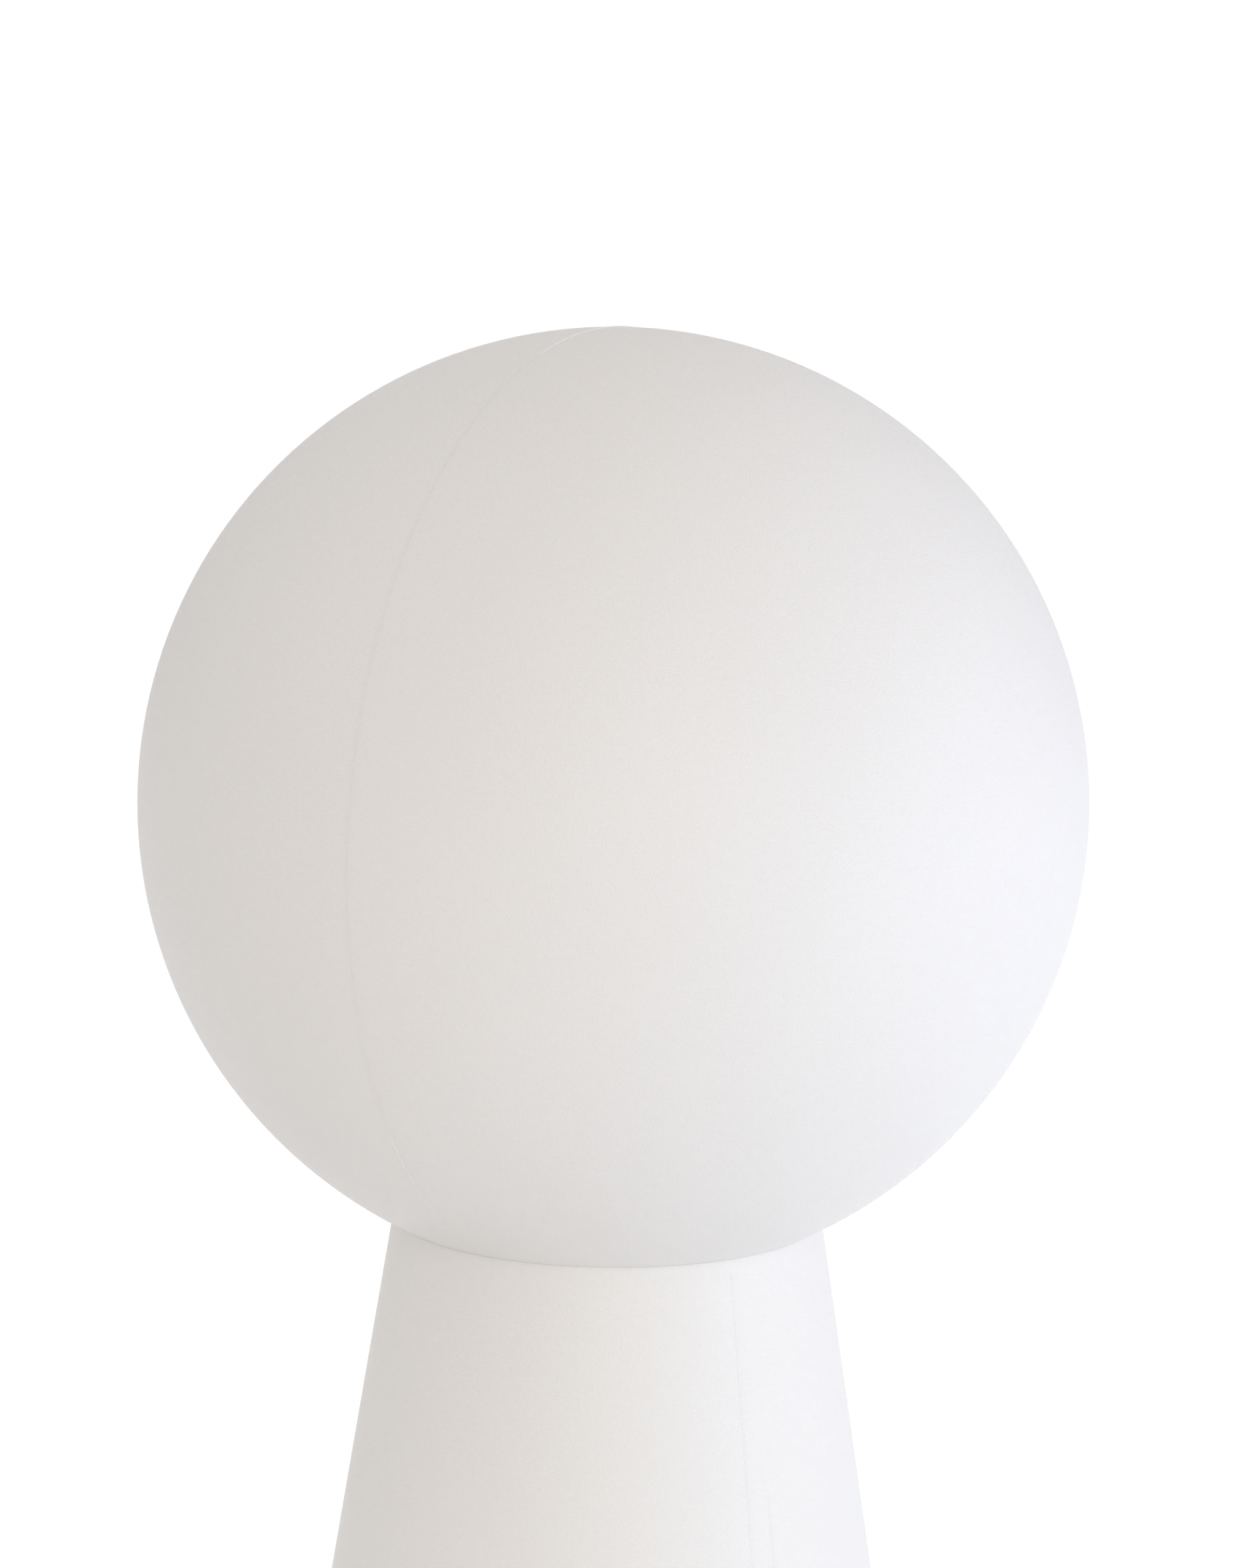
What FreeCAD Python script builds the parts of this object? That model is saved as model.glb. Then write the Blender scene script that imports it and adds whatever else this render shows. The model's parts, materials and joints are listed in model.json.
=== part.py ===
import FreeCAD, Part
import math
import os
import re
import Sketcher

# Mushroom floor lamp: a moulded globe that rests in the open top of a conical base.
# The origin is on the floor under the lamp's axis, +Z is up and the front faces -Y.
# Millimetres. The sheet below holds every driving dimension.

DIMENSIONS = {
    # globe
    "globe_radius": 250,
    "globe_centre": 850,
    "globe_wall": 3,
    "neck_radius": 95,
    # conical base
    "seat_radius": 115,
    "seat_gap": 0.3,
    "cone_slope": 0.161,
    "cone_wall": 4,
    "well_radius": 104,
    "well_draft": 1.5,
    "well_floor": 596,
    "well_opening": 62,
    "rim_depth": 11,
    "rim_round": 1,
    "base_bottom": 6,
    "edge_round": 8,
    "plate_recess": 183,
    "base_opening": 168,
    "recess_depth": 4,
    # running room in a thread, play round a screw that passes through, and overrun of a cut
    "slack": 0.05,
    "play": 0.2,
    "overrun": 1,
    # a screw's head and cross recess, as shares of its own head, and its tip
    "head_crown": 0.8,
    "head_side": 0.4,
    "cross_arm": 0.55,
    "cross_width": 0.13,
    "cross_depth": 0.5,
    "screw_point": 0.7,
    "screw_bevel": 0.2,
    # small hexagon nuts on 4 mm screws
    "small_nut_flats": 7,
    "small_nut_height": 3.2,
    # bottom plate
    "plate_radius": 181,
    "plate_sheet": 2,
    "plate_circle": 175,
    "plate_head": 4,
    "plate_head_height": 2.6,
    "plate_shank": 2.1,
    "plate_length": 12,
    # ballast and its bolts
    "ballast_radius": 150,
    "ballast_height": 12,
    "ballast_bevel": 2,
    "ballast_web": 3,
    "bolt_circle": 110,
    "bolt_head": 5.5,
    "bolt_head_height": 3.6,
    "bolt_shank": 3,
    "bolt_length": 23,
    "bolt_washer_radius": 6.25,
    "bolt_washer_sheet": 1.6,
    "bolt_nut_flats": 10,
    "bolt_nut_height": 5,
    # feet
    "foot_radius": 13,
    "foot_sole": 10.7,
    "foot_edge": 1.3,
    "foot_circle": 160,
    "foot_socket": 4.6,
    "foot_socket_radius": 5.2,
    "foot_head": 3.8,
    "foot_head_height": 2.3,
    "foot_shank": 2,
    "foot_length": 12,
    # carrier plate and gasket
    "carrier_radius": 100,
    "carrier_sheet": 2,
    "carrier_circle": 80,
    "carrier_head": 4,
    "carrier_head_height": 2.6,
    "carrier_shank": 2,
    "carrier_length": 11,
    "vent_circle": 42,
    "vent_radius": 11,
    "gasket_inner": 88,
    "gasket_outer": 99,
    "gasket_height": 3,
    # hollow stem
    "stem_radius": 5,
    "stem_bore": 3.75,
    "stem_foot": 54,
    "stem_top": 612,
    "nut_flats": 14,
    "nut_height": 4,
    "washer_radius": 9,
    "washer_sheet": 1.5,
    # bridge bracket
    "bracket_width": 34,
    "bracket_sheet": 2,
    "bracket_half_span": 27,
    "bracket_foot_reach": 47,
    "bracket_top": 64,
    "bracket_bend": 3,
    "bracket_circle": 37,
    "bracket_head": 4.5,
    "bracket_head_height": 3,
    "bracket_shank": 2.5,
    "bracket_length": 10,
    # cable gland, measured along its own axis from the outside of the base's wall
    "gland_height": 45,
    "gland_shank": 8,
    "gland_shank_length": 13,
    "gland_hole_length": 24,
    "gland_flats": 19,
    "gland_bore": 5.2,
    "gland_neck": 7.6,
    "gland_neck_top": 11,
    "cord_bore": 3.5,
    "seal_radius": 6.2,
    "seal_end": 13,
    "collar_gap": 0.2,
    "collar_top": 5.2,
    "cap_start": 5.6,
    "cap_shoulder": 16.5,
    "cap_shoulder_radius": 9,
    "cap_end": 18.5,
    "locknut_flats": 22,
    "locknut_height": 5,
    "locknut_gap": 0.4,
    # terminal block
    "block_near": 80,
    "block_far": 100,
    "block_height": 14,
    "pole_pitch": 10,
    "wire_hole": 8,
    "clamp_reach": 5,
    "clamp_radius": 2.05,
    "clamp_sunk": 5,
    "clamp_height": 3.5,
    "block_head": 2.8,
    "block_head_height": 2,
    "block_shank": 1.5,
    "block_length": 22,
    # leads
    "lead_radius": 3,
    "lead_start": 68,
    "lead_height": 29,
    "lead_bend": 20,
    "lead_top": 613.5,
    "core_radius": 1.1,
    "core_spread": 1.4,
    "core_fan": 10,
    "core_bend": 3,
    "core_rise": 0.5,
    "core_depth": 7,
    # earth lead, its tag, screw and nut
    "earth_fan_start": 64,
    "earth_fan_end": 24,
    "tag_radius": 4,
    "tag_sheet": 0.8,
    "tag_tongue": 2,
    "barrel_radius": 1.8,
    "barrel_sink": 0.4,
    "barrel_start": 1,
    "barrel_entry": 3,
    "barrel_length": 6,
    "earth_shank": 2,
    "earth_length": 8,
    "earth_head": 3.8,
    "earth_head_height": 2.4,
    # lampholder
    "holder_bottom": 604,
    "holder_radius": 20,
    "holder_wall": 2,
    "holder_boss": 8.5,
    "holder_boss_height": 8,
    "holder_boss_depth": 11,
    "holder_flare": 18,
    "holder_joint": 632,
    "holder_draft": 1,
    "holder_top": 670,
    "holder_mouth": 15,
    "core_bottom": 627,
    "core_top": 640,
    "core_gap": 0.5,
    "core_collar": 1.5,
    "core_collar_height": 9,
    "sleeve_root": 13.35,
    "sleeve_wall": 0.75,
    "sleeve_crest": 12.4,
    "sleeve_bottom": 645,
    "sleeve_top": 668,
    "terminal_reach": 10,
    "terminal_radius": 3,
    "terminal_bottom": 623,
    "tongue_width": 6,
    "tongue_sheet": 0.6,
    "tongue_foot": 12,
    "tongue_bend": 7,
    "tongue_crown": 1,
    "tongue_end": 5,
    "tongue_gap": 0.4,
    # E27 thread: its pitch and rise, and half the width of a ridge's flat crest and of its foot
    "thread_pitch": 3.629,
    "thread_rise": 12.7,
    "thread_start": 651.5,
    "thread_bite": 0.4,
    "thread_flat": 0.3,
    "cap_thread_foot": 0.9,
    "sleeve_thread_foot": 1.1,
    # bulb
    "tip_height": 644,
    "tip_button": 4.5,
    "tip_rise": 1.2,
    "insulator_top": 5,
    "insulator_radius": 10.6,
    "cap_bottom": 648.8,
    "cap_top": 671,
    "cap_root": 12.1,
    "cap_wall": 0.8,
    "cap_crest": 13.1,
    "housing_lap": 0.5,
    "housing_collar": 14,
    "housing_foot": 14.5,
    "housing_step": 2,
    "housing_curve": 90,
    "housing_top": 708,
    "housing_radius": 30,
    "housing_wall": 1.8,
    "diffuser_radius": 33.5,
    "diffuser_curve": 130,
    "diffuser_wall": 1.5,
    "bulb_top": 772,
    "board_sheet": 1.6,
    "led_board_radius": 24,
    "led_board_drop": 4,
    "driver_half_width": 9,
    "driver_depth": 10,
}

# Heights and reaches that several pieces share, written in the sheet's words.
GLOBE_SEAT = "sqrt((globe_radius + seat_gap) ^ 2 - seat_radius ^ 2)"
RIM_TOP = f"(globe_centre - {GLOBE_SEAT})"
WELL_TOP = "(globe_centre - sqrt((globe_radius + seat_gap) ^ 2 - well_radius ^ 2))"
NECK_END = "(well_floor + carrier_sheet + gasket_height + seat_gap)"
PLATE_TOP = "(base_bottom + recess_depth)"
PLATE_BOTTOM = "(base_bottom + recess_depth - plate_sheet)"
BALLAST_TOP = "(base_bottom + recess_depth + ballast_height)"
CARRIER_TOP = "(well_floor + carrier_sheet)"
BLOCK_MIDDLE = "(block_near + block_far) / 2"
BLOCK_FIXINGS = ["0", "-pole_pitch"]
POLES = ["pole_pitch / 2", "-pole_pitch / 2", "-pole_pitch * 1.5"]
THREE_ROUND = [90, 210, 330]
LEAST_CUT = 0.01
NEAR = 0.05

doc = FreeCAD.newDocument("mushroom_floor_lamp")
sheet = doc.addObject("Spreadsheet::Sheet", "dims")
pieces = []


def fill_sheet():
    """Write each driving dimension into the sheet, with its word as the alias."""
    for row, (word, value) in enumerate(DIMENSIONS.items(), start=1):
        sheet.set(f"A{row}", word)
        sheet.set(f"B{row}", str(value))
        sheet.setAlias(f"B{row}", word)
    doc.recompute()


def bound(formula):
    """Point each word of a formula at its cell, so that another object can hold the formula."""
    return re.sub(r"\b(?!sqrt\b|sin\b|cos\b|atan\b|abs\b)[a-z][a-z_]*", r"dims.\g<0>", str(formula))


def value_of(formula):
    """The present value of a formula."""
    return float(sheet.evalExpression(bound(formula)))


def around(reach, angle):
    """Formulas for a point at a reach from the axis, turned by an angle in degrees."""
    return f"({reach}) * cos({angle})", f"({reach}) * sin({angle})"


def ring_of_holes(reach, angles, radius):
    """Round holes (x, y, radius) at a reach from the axis and at each angle."""
    return [(*around(reach, angle), radius) for angle in angles]


def hexagon(flats):
    """The six corners of a hexagon of a size across flats."""
    return [around(f"({flats}) / sqrt(3)", 60 * step) for step in range(6)]


# ---------------------------------------------------------------- sketches and features


def new_body(label):
    """A sub-part, named by its label."""
    body = doc.addObject("PartDesign::Body", label)
    body.Label = label
    body.AllowCompound = True
    pieces.append(body)
    return body


def new_sketch(body, plane, offset="0"):
    """A sketch on one of the body's own origin planes, moved along its normal by a formula."""
    sketch = body.newObject("Sketcher::SketchObject", f"{body.Name}_sketch")
    origin_plane = next(item for item in body.Origin.OriginFeatures if item.Role == plane)
    sketch.AttachmentSupport = [(origin_plane, "")]
    sketch.MapMode = "FlatFace"
    sketch.setExpression(".AttachmentOffset.Base.z", bound(offset))
    return sketch


def pin(sketch, geometry, end, x, y):
    """Hold one end of a sketch's line, arc or circle at a place given by two formulas."""
    for kind, formula in (("DistanceX", x), ("DistanceY", y)):
        index = sketch.addConstraint(Sketcher.Constraint(kind, -1, 1, geometry, end, value_of(formula)))
        sketch.setExpression(f"Constraints[{index}]", bound(formula))


def add_arc(sketch, start, end, radius, side):
    """An arc of under half a circle from start to end, its centre on the side named."""
    chord = end - start
    lift = math.sqrt(value_of(radius) ** 2 - chord.Length ** 2 / 4)
    across = FreeCAD.Vector(-chord.y, chord.x, 0).normalize()
    centre = start + chord / 2 + across * (lift if side == "left" else -lift)
    first, last = (start, end) if side == "left" else (end, start)
    angles = [math.atan2((point - centre).y, (point - centre).x) for point in (first, last)]
    if angles[1] < angles[0]:
        angles[1] += 2 * math.pi
    circle = Part.Circle(centre, FreeCAD.Vector(0, 0, 1), value_of(radius))
    geometry = sketch.addGeometry(Part.ArcOfCircle(circle, *angles), False)
    index = sketch.addConstraint(Sketcher.Constraint("Radius", geometry, value_of(radius)))
    sketch.setExpression(f"Constraints[{index}]", bound(radius))
    return geometry


def draw_path(sketch, corners, closed=True):
    """Join corners (x, y) by lines; a corner (x, y, radius, side) is reached by an arc."""
    places = [FreeCAD.Vector(value_of(corner[0]), value_of(corner[1]), 0) for corner in corners]
    count = len(corners) if closed else len(corners) - 1
    runs = []
    for number in range(count):
        goal = corners[(number + 1) % len(corners)]
        start, end = places[number], places[(number + 1) % len(corners)]
        if len(goal) == 4:
            geometry = add_arc(sketch, start, end, goal[2], goal[3])
            ends = (1, 2) if goal[3] == "left" else (2, 1)
        else:
            geometry = sketch.addGeometry(Part.LineSegment(start, end), False)
            ends = (1, 2)
        runs.append((geometry, *ends))
    for number, (geometry, first, last) in enumerate(runs):
        pin(sketch, geometry, first, corners[number][0], corners[number][1])
        if closed or number + 1 < count:
            following = runs[(number + 1) % count]
            joint = Sketcher.Constraint("Coincident", geometry, last, following[0], following[1])
            sketch.addConstraint(joint)
    if not closed:
        pin(sketch, runs[-1][0], runs[-1][2], corners[-1][0], corners[-1][1])


def draw_circle(sketch, x, y, radius):
    """A circle whose centre and radius follow three formulas."""
    centre = FreeCAD.Vector(value_of(x), value_of(y), 0)
    geometry = sketch.addGeometry(Part.Circle(centre, FreeCAD.Vector(0, 0, 1), value_of(radius)), False)
    index = sketch.addConstraint(Sketcher.Constraint("Radius", geometry, value_of(radius)))
    sketch.setExpression(f"Constraints[{index}]", bound(radius))
    pin(sketch, geometry, 3, x, y)


def turn(body, corners, reach="0", row="0"):
    """Revolve a half-section about an upright axis that stands at x = reach and y = row."""
    sketch = new_sketch(body, "XZ_Plane", f"-({row})")
    draw_path(sketch, [(f"({reach}) + ({corner[0]})", *corner[1:]) for corner in corners])
    foot = FreeCAD.Vector(value_of(reach), 0, 0)
    head = FreeCAD.Vector(value_of(reach), value_of("globe_centre"), 0)
    axis = sketch.addGeometry(Part.LineSegment(foot, head), True)
    pin(sketch, axis, 1, reach, "0")
    pin(sketch, axis, 2, reach, "globe_centre")
    feature = body.newObject("PartDesign::Revolution", f"{body.Name}_turned")
    feature.Profile = sketch
    feature.ReferenceAxis = (sketch, ["Axis0"])
    feature.Angle = 360
    doc.recompute()
    return feature


def pad(body, corners, height, plane="XY_Plane", offset="0", holes=(), middle=False):
    """Extrude an outline, with round holes (x, y, radius), by a height."""
    sketch = new_sketch(body, plane, offset)
    draw_path(sketch, corners)
    for hole in holes:
        draw_circle(sketch, *hole)
    feature = body.newObject("PartDesign::Pad", f"{body.Name}_pad")
    feature.Profile = sketch
    feature.Midplane = middle
    feature.setExpression("Length", bound(height))
    doc.recompute()
    return feature


def drill(body, holes, top, depth, plane="XY_Plane"):
    """Drill round holes (x, y, radius) from a height, down through a depth."""
    before = body.Shape.Volume
    sketch = new_sketch(body, plane, top)
    for hole in holes:
        draw_circle(sketch, *hole)
    feature = body.newObject("PartDesign::Pocket", f"{body.Name}_holes")
    feature.Profile = sketch
    feature.setExpression("Length", bound(depth))
    doc.recompute()
    check_cut(body, before)
    return feature


def cut_cross(body, place, face, head, depth, from_below):
    """Cut a cross recess into a screw's head at a place (x, y), from the height of its face."""
    before = body.Shape.Volume
    sketch = new_sketch(body, "XY_Plane", face)
    arm, half_width = f"{head} * cross_arm", f"{head} * cross_width"
    steps = [(arm, half_width), (half_width, half_width), (half_width, arm)]
    quarters = []
    for turn_x, turn_y in ((1, 1), (-1, 1), (-1, -1), (1, -1)):
        run = steps if turn_x == turn_y else steps[::-1]
        quarters += [(f"({place[0]}) + {turn_x} * {x}", f"({place[1]}) + {turn_y} * {y}") for x, y in run]
    draw_path(sketch, quarters)
    feature = body.newObject("PartDesign::Pocket", f"{body.Name}_cross")
    feature.Profile = sketch
    feature.Reversed = from_below
    feature.setExpression("Length", bound(depth))
    doc.recompute()
    check_cut(body, before)
    return feature


def check_cut(body, before):
    """Stop if a cut took nothing away."""
    if not body.Shape.Volume < before - LEAST_CUT:
        raise RuntimeError(f"a cut in {body.Label} removes nothing")


def repeat(body, features, count, first_angle="0"):
    """Repeat features evenly about the lamp's axis, the first of them at an angle."""
    pattern = body.newObject("PartDesign::PolarPattern", f"{body.Name}_ring")
    pattern.Originals = features
    pattern.Axis = (next(item for item in body.Origin.OriginFeatures if item.Role == "Z_Axis"), [""])
    pattern.Angle = 360
    pattern.Occurrences = count
    body.Tip = pattern
    body.setExpression(".Placement.Rotation.Angle", bound(first_angle))
    doc.recompute()


def round_edges(body, radius, wanted):
    """Fillet the circular edges that stand at the given (reach, height) pairs."""
    doc.recompute()
    base = body.Tip
    names = []
    for number, edge in enumerate(base.Shape.Edges, start=1):
        point = edge.Vertexes[0].Point
        place = (math.hypot(point.x, point.y), point.z)
        for reach, height in wanted:
            if math.dist(place, (value_of(reach), value_of(height))) < NEAR and len(edge.Vertexes) == 1:
                names.append(f"Edge{number}")
    feature = body.newObject("PartDesign::Fillet", f"{body.Name}_round")
    feature.Base = (base, names)
    feature.setExpression("Radius", bound(radius))
    doc.recompute()


def thread(body, corners):
    """Wind a ridge up the lamp's axis as a right-hand E27 thread."""
    sketch = new_sketch(body, "XZ_Plane")
    draw_path(sketch, corners)
    feature = body.newObject("PartDesign::AdditiveHelix", f"{body.Name}_thread")
    feature.Profile = sketch
    feature.ReferenceAxis = (sketch, ["V_Axis"])
    feature.Mode = "pitch-height-angle"
    feature.setExpression("Pitch", bound("thread_pitch"))
    feature.setExpression("Height", bound("thread_rise"))
    doc.recompute()


def run_wire(body, route, radius, heading, plane="XZ_Plane", offset="0"):
    """Sweep a round wire along a flat route that sets out along the lamp's x or z axis."""
    spine = new_sketch(body, plane, offset)
    draw_path(spine, route, closed=False)
    first, second = route[0]
    x, y, z = (first, "0", second) if plane == "XZ_Plane" else (first, second, offset)
    if heading == "x":
        ring = new_sketch(body, "YZ_Plane", x)
        draw_circle(ring, y, z, radius)
    else:
        ring = new_sketch(body, "XY_Plane", z)
        draw_circle(ring, x, y, radius)
    pipe = body.newObject("PartDesign::AdditivePipe", f"{body.Name}_pipe")
    pipe.Profile = ring
    pipe.Spine = (spine, [f"Edge{number}" for number in range(1, len(route))])
    doc.recompute()


def fan(x, y, run, shift, side):
    """Two gentle arcs that carry a wire sideways by a shift over a run along x."""
    radius = f"(({shift}) ^ 2 + ({run}) ^ 2) / (4 * abs({shift}))"
    other = "right" if side == "left" else "left"
    return [(x, y), (f"({x}) + ({run}) / 2", f"({y}) + ({shift}) / 2", radius, side),
            (f"({x}) + ({run})", f"({y}) + ({shift})", radius, other)]


def nut(label, flats, bore, bottoms, height, reach="0", count=1, first_angle="0"):
    """A hexagon nut at each bottom height, repeated about the axis if it stands off it."""
    body = new_body(label)
    features = []
    for bottom in bottoms:
        corners = [(f"({reach}) + {x}", y) for x, y in hexagon(flats)]
        features.append(pad(body, corners, height, offset=bottom, holes=[(reach, "0", bore)]))
    if count > 1:
        repeat(body, features, count, first_angle)
    return body


def washer(label, outer, bore, bottoms, height, reach="0", count=1, first_angle="0"):
    """A flat washer at each bottom height, repeated about the axis if it stands off it."""
    body = new_body(label)
    features = []
    for bottom in bottoms:
        upper = f"({bottom}) + ({height})"
        section = [(bore, bottom), (outer, bottom), (outer, upper), (bore, upper)]
        features.append(turn(body, section, reach))
    if count > 1:
        repeat(body, features, count, first_angle)
    return body


def screws(label, kind, seat, reach, count=1, first_angle="0", rows=("0",), heads="above", tip="point"):
    """Cross-recessed screws whose heads stand above or below a seat, sized by their kind's words."""
    body = new_body(label)
    head, height, shank = f"{kind}_head", f"{kind}_head_height", f"{kind}_shank"
    taper = f"{shank} * screw_point" if tip == "point" else f"{shank} * screw_bevel"
    side, back = ("+", "-") if heads == "above" else ("-", "+")
    face = f"({seat}) {side} {height}"
    end = f"({seat}) {back} {kind}_length"
    features = []
    for row in rows:
        features.append(turn(body, [
            ("0", face),
            (f"{head} * head_crown", face),
            (head, f"({seat}) {side} {height} * head_side"),
            (head, seat),
            (shank, seat),
            (shank, f"{end} {side} {taper}"),
            (f"{shank} - {taper}", end),
            ("0", end),
        ], reach, row))
        depth = f"{height} * cross_depth"
        features.append(cut_cross(body, (reach, row), face, head, depth, heads == "below"))
    if count > 1:
        repeat(body, features, count, first_angle)


# ---------------------------------------------------------------- globe and base


def make_globe():
    """Blow-moulded globe with an open neck below, which drops into the base's well."""
    inner = "(globe_radius - globe_wall)"
    bore = "(neck_radius - globe_wall)"
    turn(new_body("globe"), [
        ("0", "globe_centre + globe_radius"),
        ("globe_radius", "globe_centre", "globe_radius", "right"),
        ("neck_radius", "globe_centre - sqrt(globe_radius ^ 2 - neck_radius ^ 2)", "globe_radius", "right"),
        ("neck_radius", NECK_END),
        (bore, NECK_END),
        (bore, f"globe_centre - sqrt({inner} ^ 2 - {bore} ^ 2)"),
        (inner, "globe_centre", inner, "left"),
        ("0", f"globe_centre + {inner}", inner, "left"),
    ])


def cone_reach(height):
    """The base's outer radius at a height."""
    return f"(seat_radius + cone_slope * ({RIM_TOP} - ({height})))"


def make_base_cone():
    """Hollow conical base: outer wall, rim cut to the globe, recessed well and open foot."""
    body = new_body("base_cone")
    foot_inside = "(base_bottom + cone_wall)"
    rim_inside = f"({RIM_TOP} - rim_depth)"
    well_foot = "(well_radius - well_draft)"
    turn(body, [
        (cone_reach("base_bottom"), "base_bottom"),
        ("seat_radius", RIM_TOP),
        ("well_radius", WELL_TOP, "globe_radius + seat_gap", "right"),
        (well_foot, "well_floor"),
        ("well_opening", "well_floor"),
        ("well_opening", "well_floor - cone_wall"),
        (f"{well_foot} + cone_wall", "well_floor - cone_wall"),
        ("well_radius + cone_wall", rim_inside),
        (f"{cone_reach(rim_inside)} - cone_wall", rim_inside),
        (f"{cone_reach(foot_inside)} - cone_wall", foot_inside),
        ("plate_recess + cone_wall", foot_inside),
        ("plate_recess + cone_wall", f"{PLATE_TOP} + cone_wall"),
        ("base_opening", f"{PLATE_TOP} + cone_wall"),
        ("base_opening", PLATE_TOP),
        ("plate_recess", PLATE_TOP),
        ("plate_recess", "base_bottom"),
    ])
    drill(body, ring_of_holes("carrier_circle", THREE_ROUND, "carrier_shank + slack"), "well_floor",
          "cone_wall")
    drill(body, ring_of_holes("plate_circle", range(30, 390, 60), "plate_shank + slack"),
          f"{PLATE_TOP} + cone_wall", "cone_wall")
    round_edges(body, "edge_round", [(cone_reach("base_bottom"), "base_bottom")])
    round_edges(body, "rim_round", [("seat_radius", RIM_TOP), ("well_radius", WELL_TOP)])


def make_bottom_plate():
    """Steel disc that closes the base and carries the feet and the ballast."""
    body = new_body("bottom_plate")
    turn(body, [("0", PLATE_BOTTOM), ("plate_radius", PLATE_BOTTOM), ("plate_radius", PLATE_TOP),
                ("0", PLATE_TOP)])
    holes = ring_of_holes("plate_circle", range(30, 390, 60), "plate_shank + play")
    holes += ring_of_holes("foot_circle", range(45, 405, 90), "foot_shank + slack")
    holes += ring_of_holes("bolt_circle", THREE_ROUND, "bolt_shank + slack")
    drill(body, holes, PLATE_TOP, "plate_sheet")
    screws("bottom_plate_screws", "plate", PLATE_BOTTOM, "plate_circle", 6, 30, heads="below")


def make_feet():
    """Rubber feet, each held by a screw sunk in its socket and a nut inside the base."""
    body = new_body("rubber_feet")
    foot = turn(body, [
        ("foot_shank + slack", "foot_socket"),
        ("foot_socket_radius", "foot_socket"),
        ("foot_socket_radius", "0"),
        ("foot_sole", "0"),
        ("foot_sole + foot_edge", "foot_edge", "foot_edge", "left"),
        ("foot_radius", PLATE_BOTTOM),
        ("foot_shank + slack", PLATE_BOTTOM),
    ], "foot_circle")
    repeat(body, [foot], 4, 45)
    screws("feet_screws", "foot", "foot_socket", "foot_circle", 4, 45, heads="below", tip="bevel")
    nut("feet_nuts", "small_nut_flats", "foot_shank + slack", [PLATE_TOP], "small_nut_height",
        "foot_circle", 4, 45)


def make_ballast():
    """Cast-iron disc bolted to the bottom plate."""
    body = new_body("ballast_disc")
    turn(body, [
        ("0", PLATE_TOP),
        ("ballast_radius - ballast_bevel", PLATE_TOP),
        ("ballast_radius", f"{PLATE_TOP} + ballast_bevel"),
        ("ballast_radius", f"{BALLAST_TOP} - ballast_bevel"),
        ("ballast_radius - ballast_bevel", BALLAST_TOP),
        ("0", BALLAST_TOP),
    ])
    drill(body, ring_of_holes("bolt_circle", THREE_ROUND, "bolt_shank + slack"), BALLAST_TOP,
          "ballast_height")
    tapped = [("0", side + "bracket_circle", "bracket_shank + slack") for side in ("", "-")]
    tapped += [(BLOCK_MIDDLE, row, "block_shank + slack") for row in BLOCK_FIXINGS]
    drill(body, tapped, BALLAST_TOP, "ballast_height - ballast_web")
    screws("ballast_bolts", "bolt", PLATE_BOTTOM, "bolt_circle", 3, 90, heads="below", tip="bevel")
    washer("ballast_washers", "bolt_washer_radius", "bolt_shank + play", [BALLAST_TOP],
           "bolt_washer_sheet", "bolt_circle", 3, 90)
    nut("ballast_nuts", "bolt_nut_flats", "bolt_shank + slack", [f"{BALLAST_TOP} + bolt_washer_sheet"],
        "bolt_nut_height", "bolt_circle", 3, 90)


# ---------------------------------------------------------------- cable gland


def lay_gland_piece(body):
    """Turn a piece of the gland square to the base's wall, at the back."""
    lean = "-atan(1 / cone_slope)"
    body.Placement.Rotation = FreeCAD.Rotation(FreeCAD.Vector(1, 0, 0), value_of(lean))
    body.setExpression(".Placement.Rotation.Angle", bound(lean))
    body.setExpression(".Placement.Base.y", bound(cone_reach("gland_height")))
    body.setExpression(".Placement.Base.z", bound("gland_height"))
    doc.recompute()


def make_gland():
    """Nylon cable gland: threaded body, seal, cap and the nut inside the wall."""
    shell = new_body("gland_body")
    socket = "seal_radius + slack"
    pad(shell, hexagon("gland_flats"), "collar_top - collar_gap", offset="collar_gap",
        holes=[("0", "0", "gland_bore")])
    turn(shell, [("gland_bore", "-gland_shank_length"), ("gland_shank", "-gland_shank_length"),
                 ("gland_shank", "collar_gap"), ("gland_bore", "collar_gap")])
    turn(shell, [(socket, "collar_top"), ("gland_neck", "collar_top"), ("gland_neck", "gland_neck_top"),
                 (socket, "gland_neck_top")])
    seal = new_body("gland_seal")
    turn(seal, [("cord_bore", "collar_top"), ("seal_radius", "collar_top"), ("seal_radius", "gland_neck_top"),
                ("gland_bore", "seal_end"), ("cord_bore", "seal_end")])
    cap = new_body("gland_cap")
    pad(cap, hexagon("gland_flats"), "seal_end - cap_start", offset="cap_start",
        holes=[("0", "0", "gland_neck + slack * 2")])
    turn(cap, [("gland_bore", "seal_end"), ("gland_flats / 2 - slack * 2", "seal_end"),
               ("cap_shoulder_radius", "cap_shoulder"), ("gland_neck", "cap_end"), ("gland_bore", "cap_end")])
    lock = nut("gland_locknut", "locknut_flats", "gland_shank + slack",
               ["-(cone_wall + locknut_gap + locknut_height)"], "locknut_height")
    for body in (shell, seal, cap, lock):
        lay_gland_piece(body)


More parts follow.
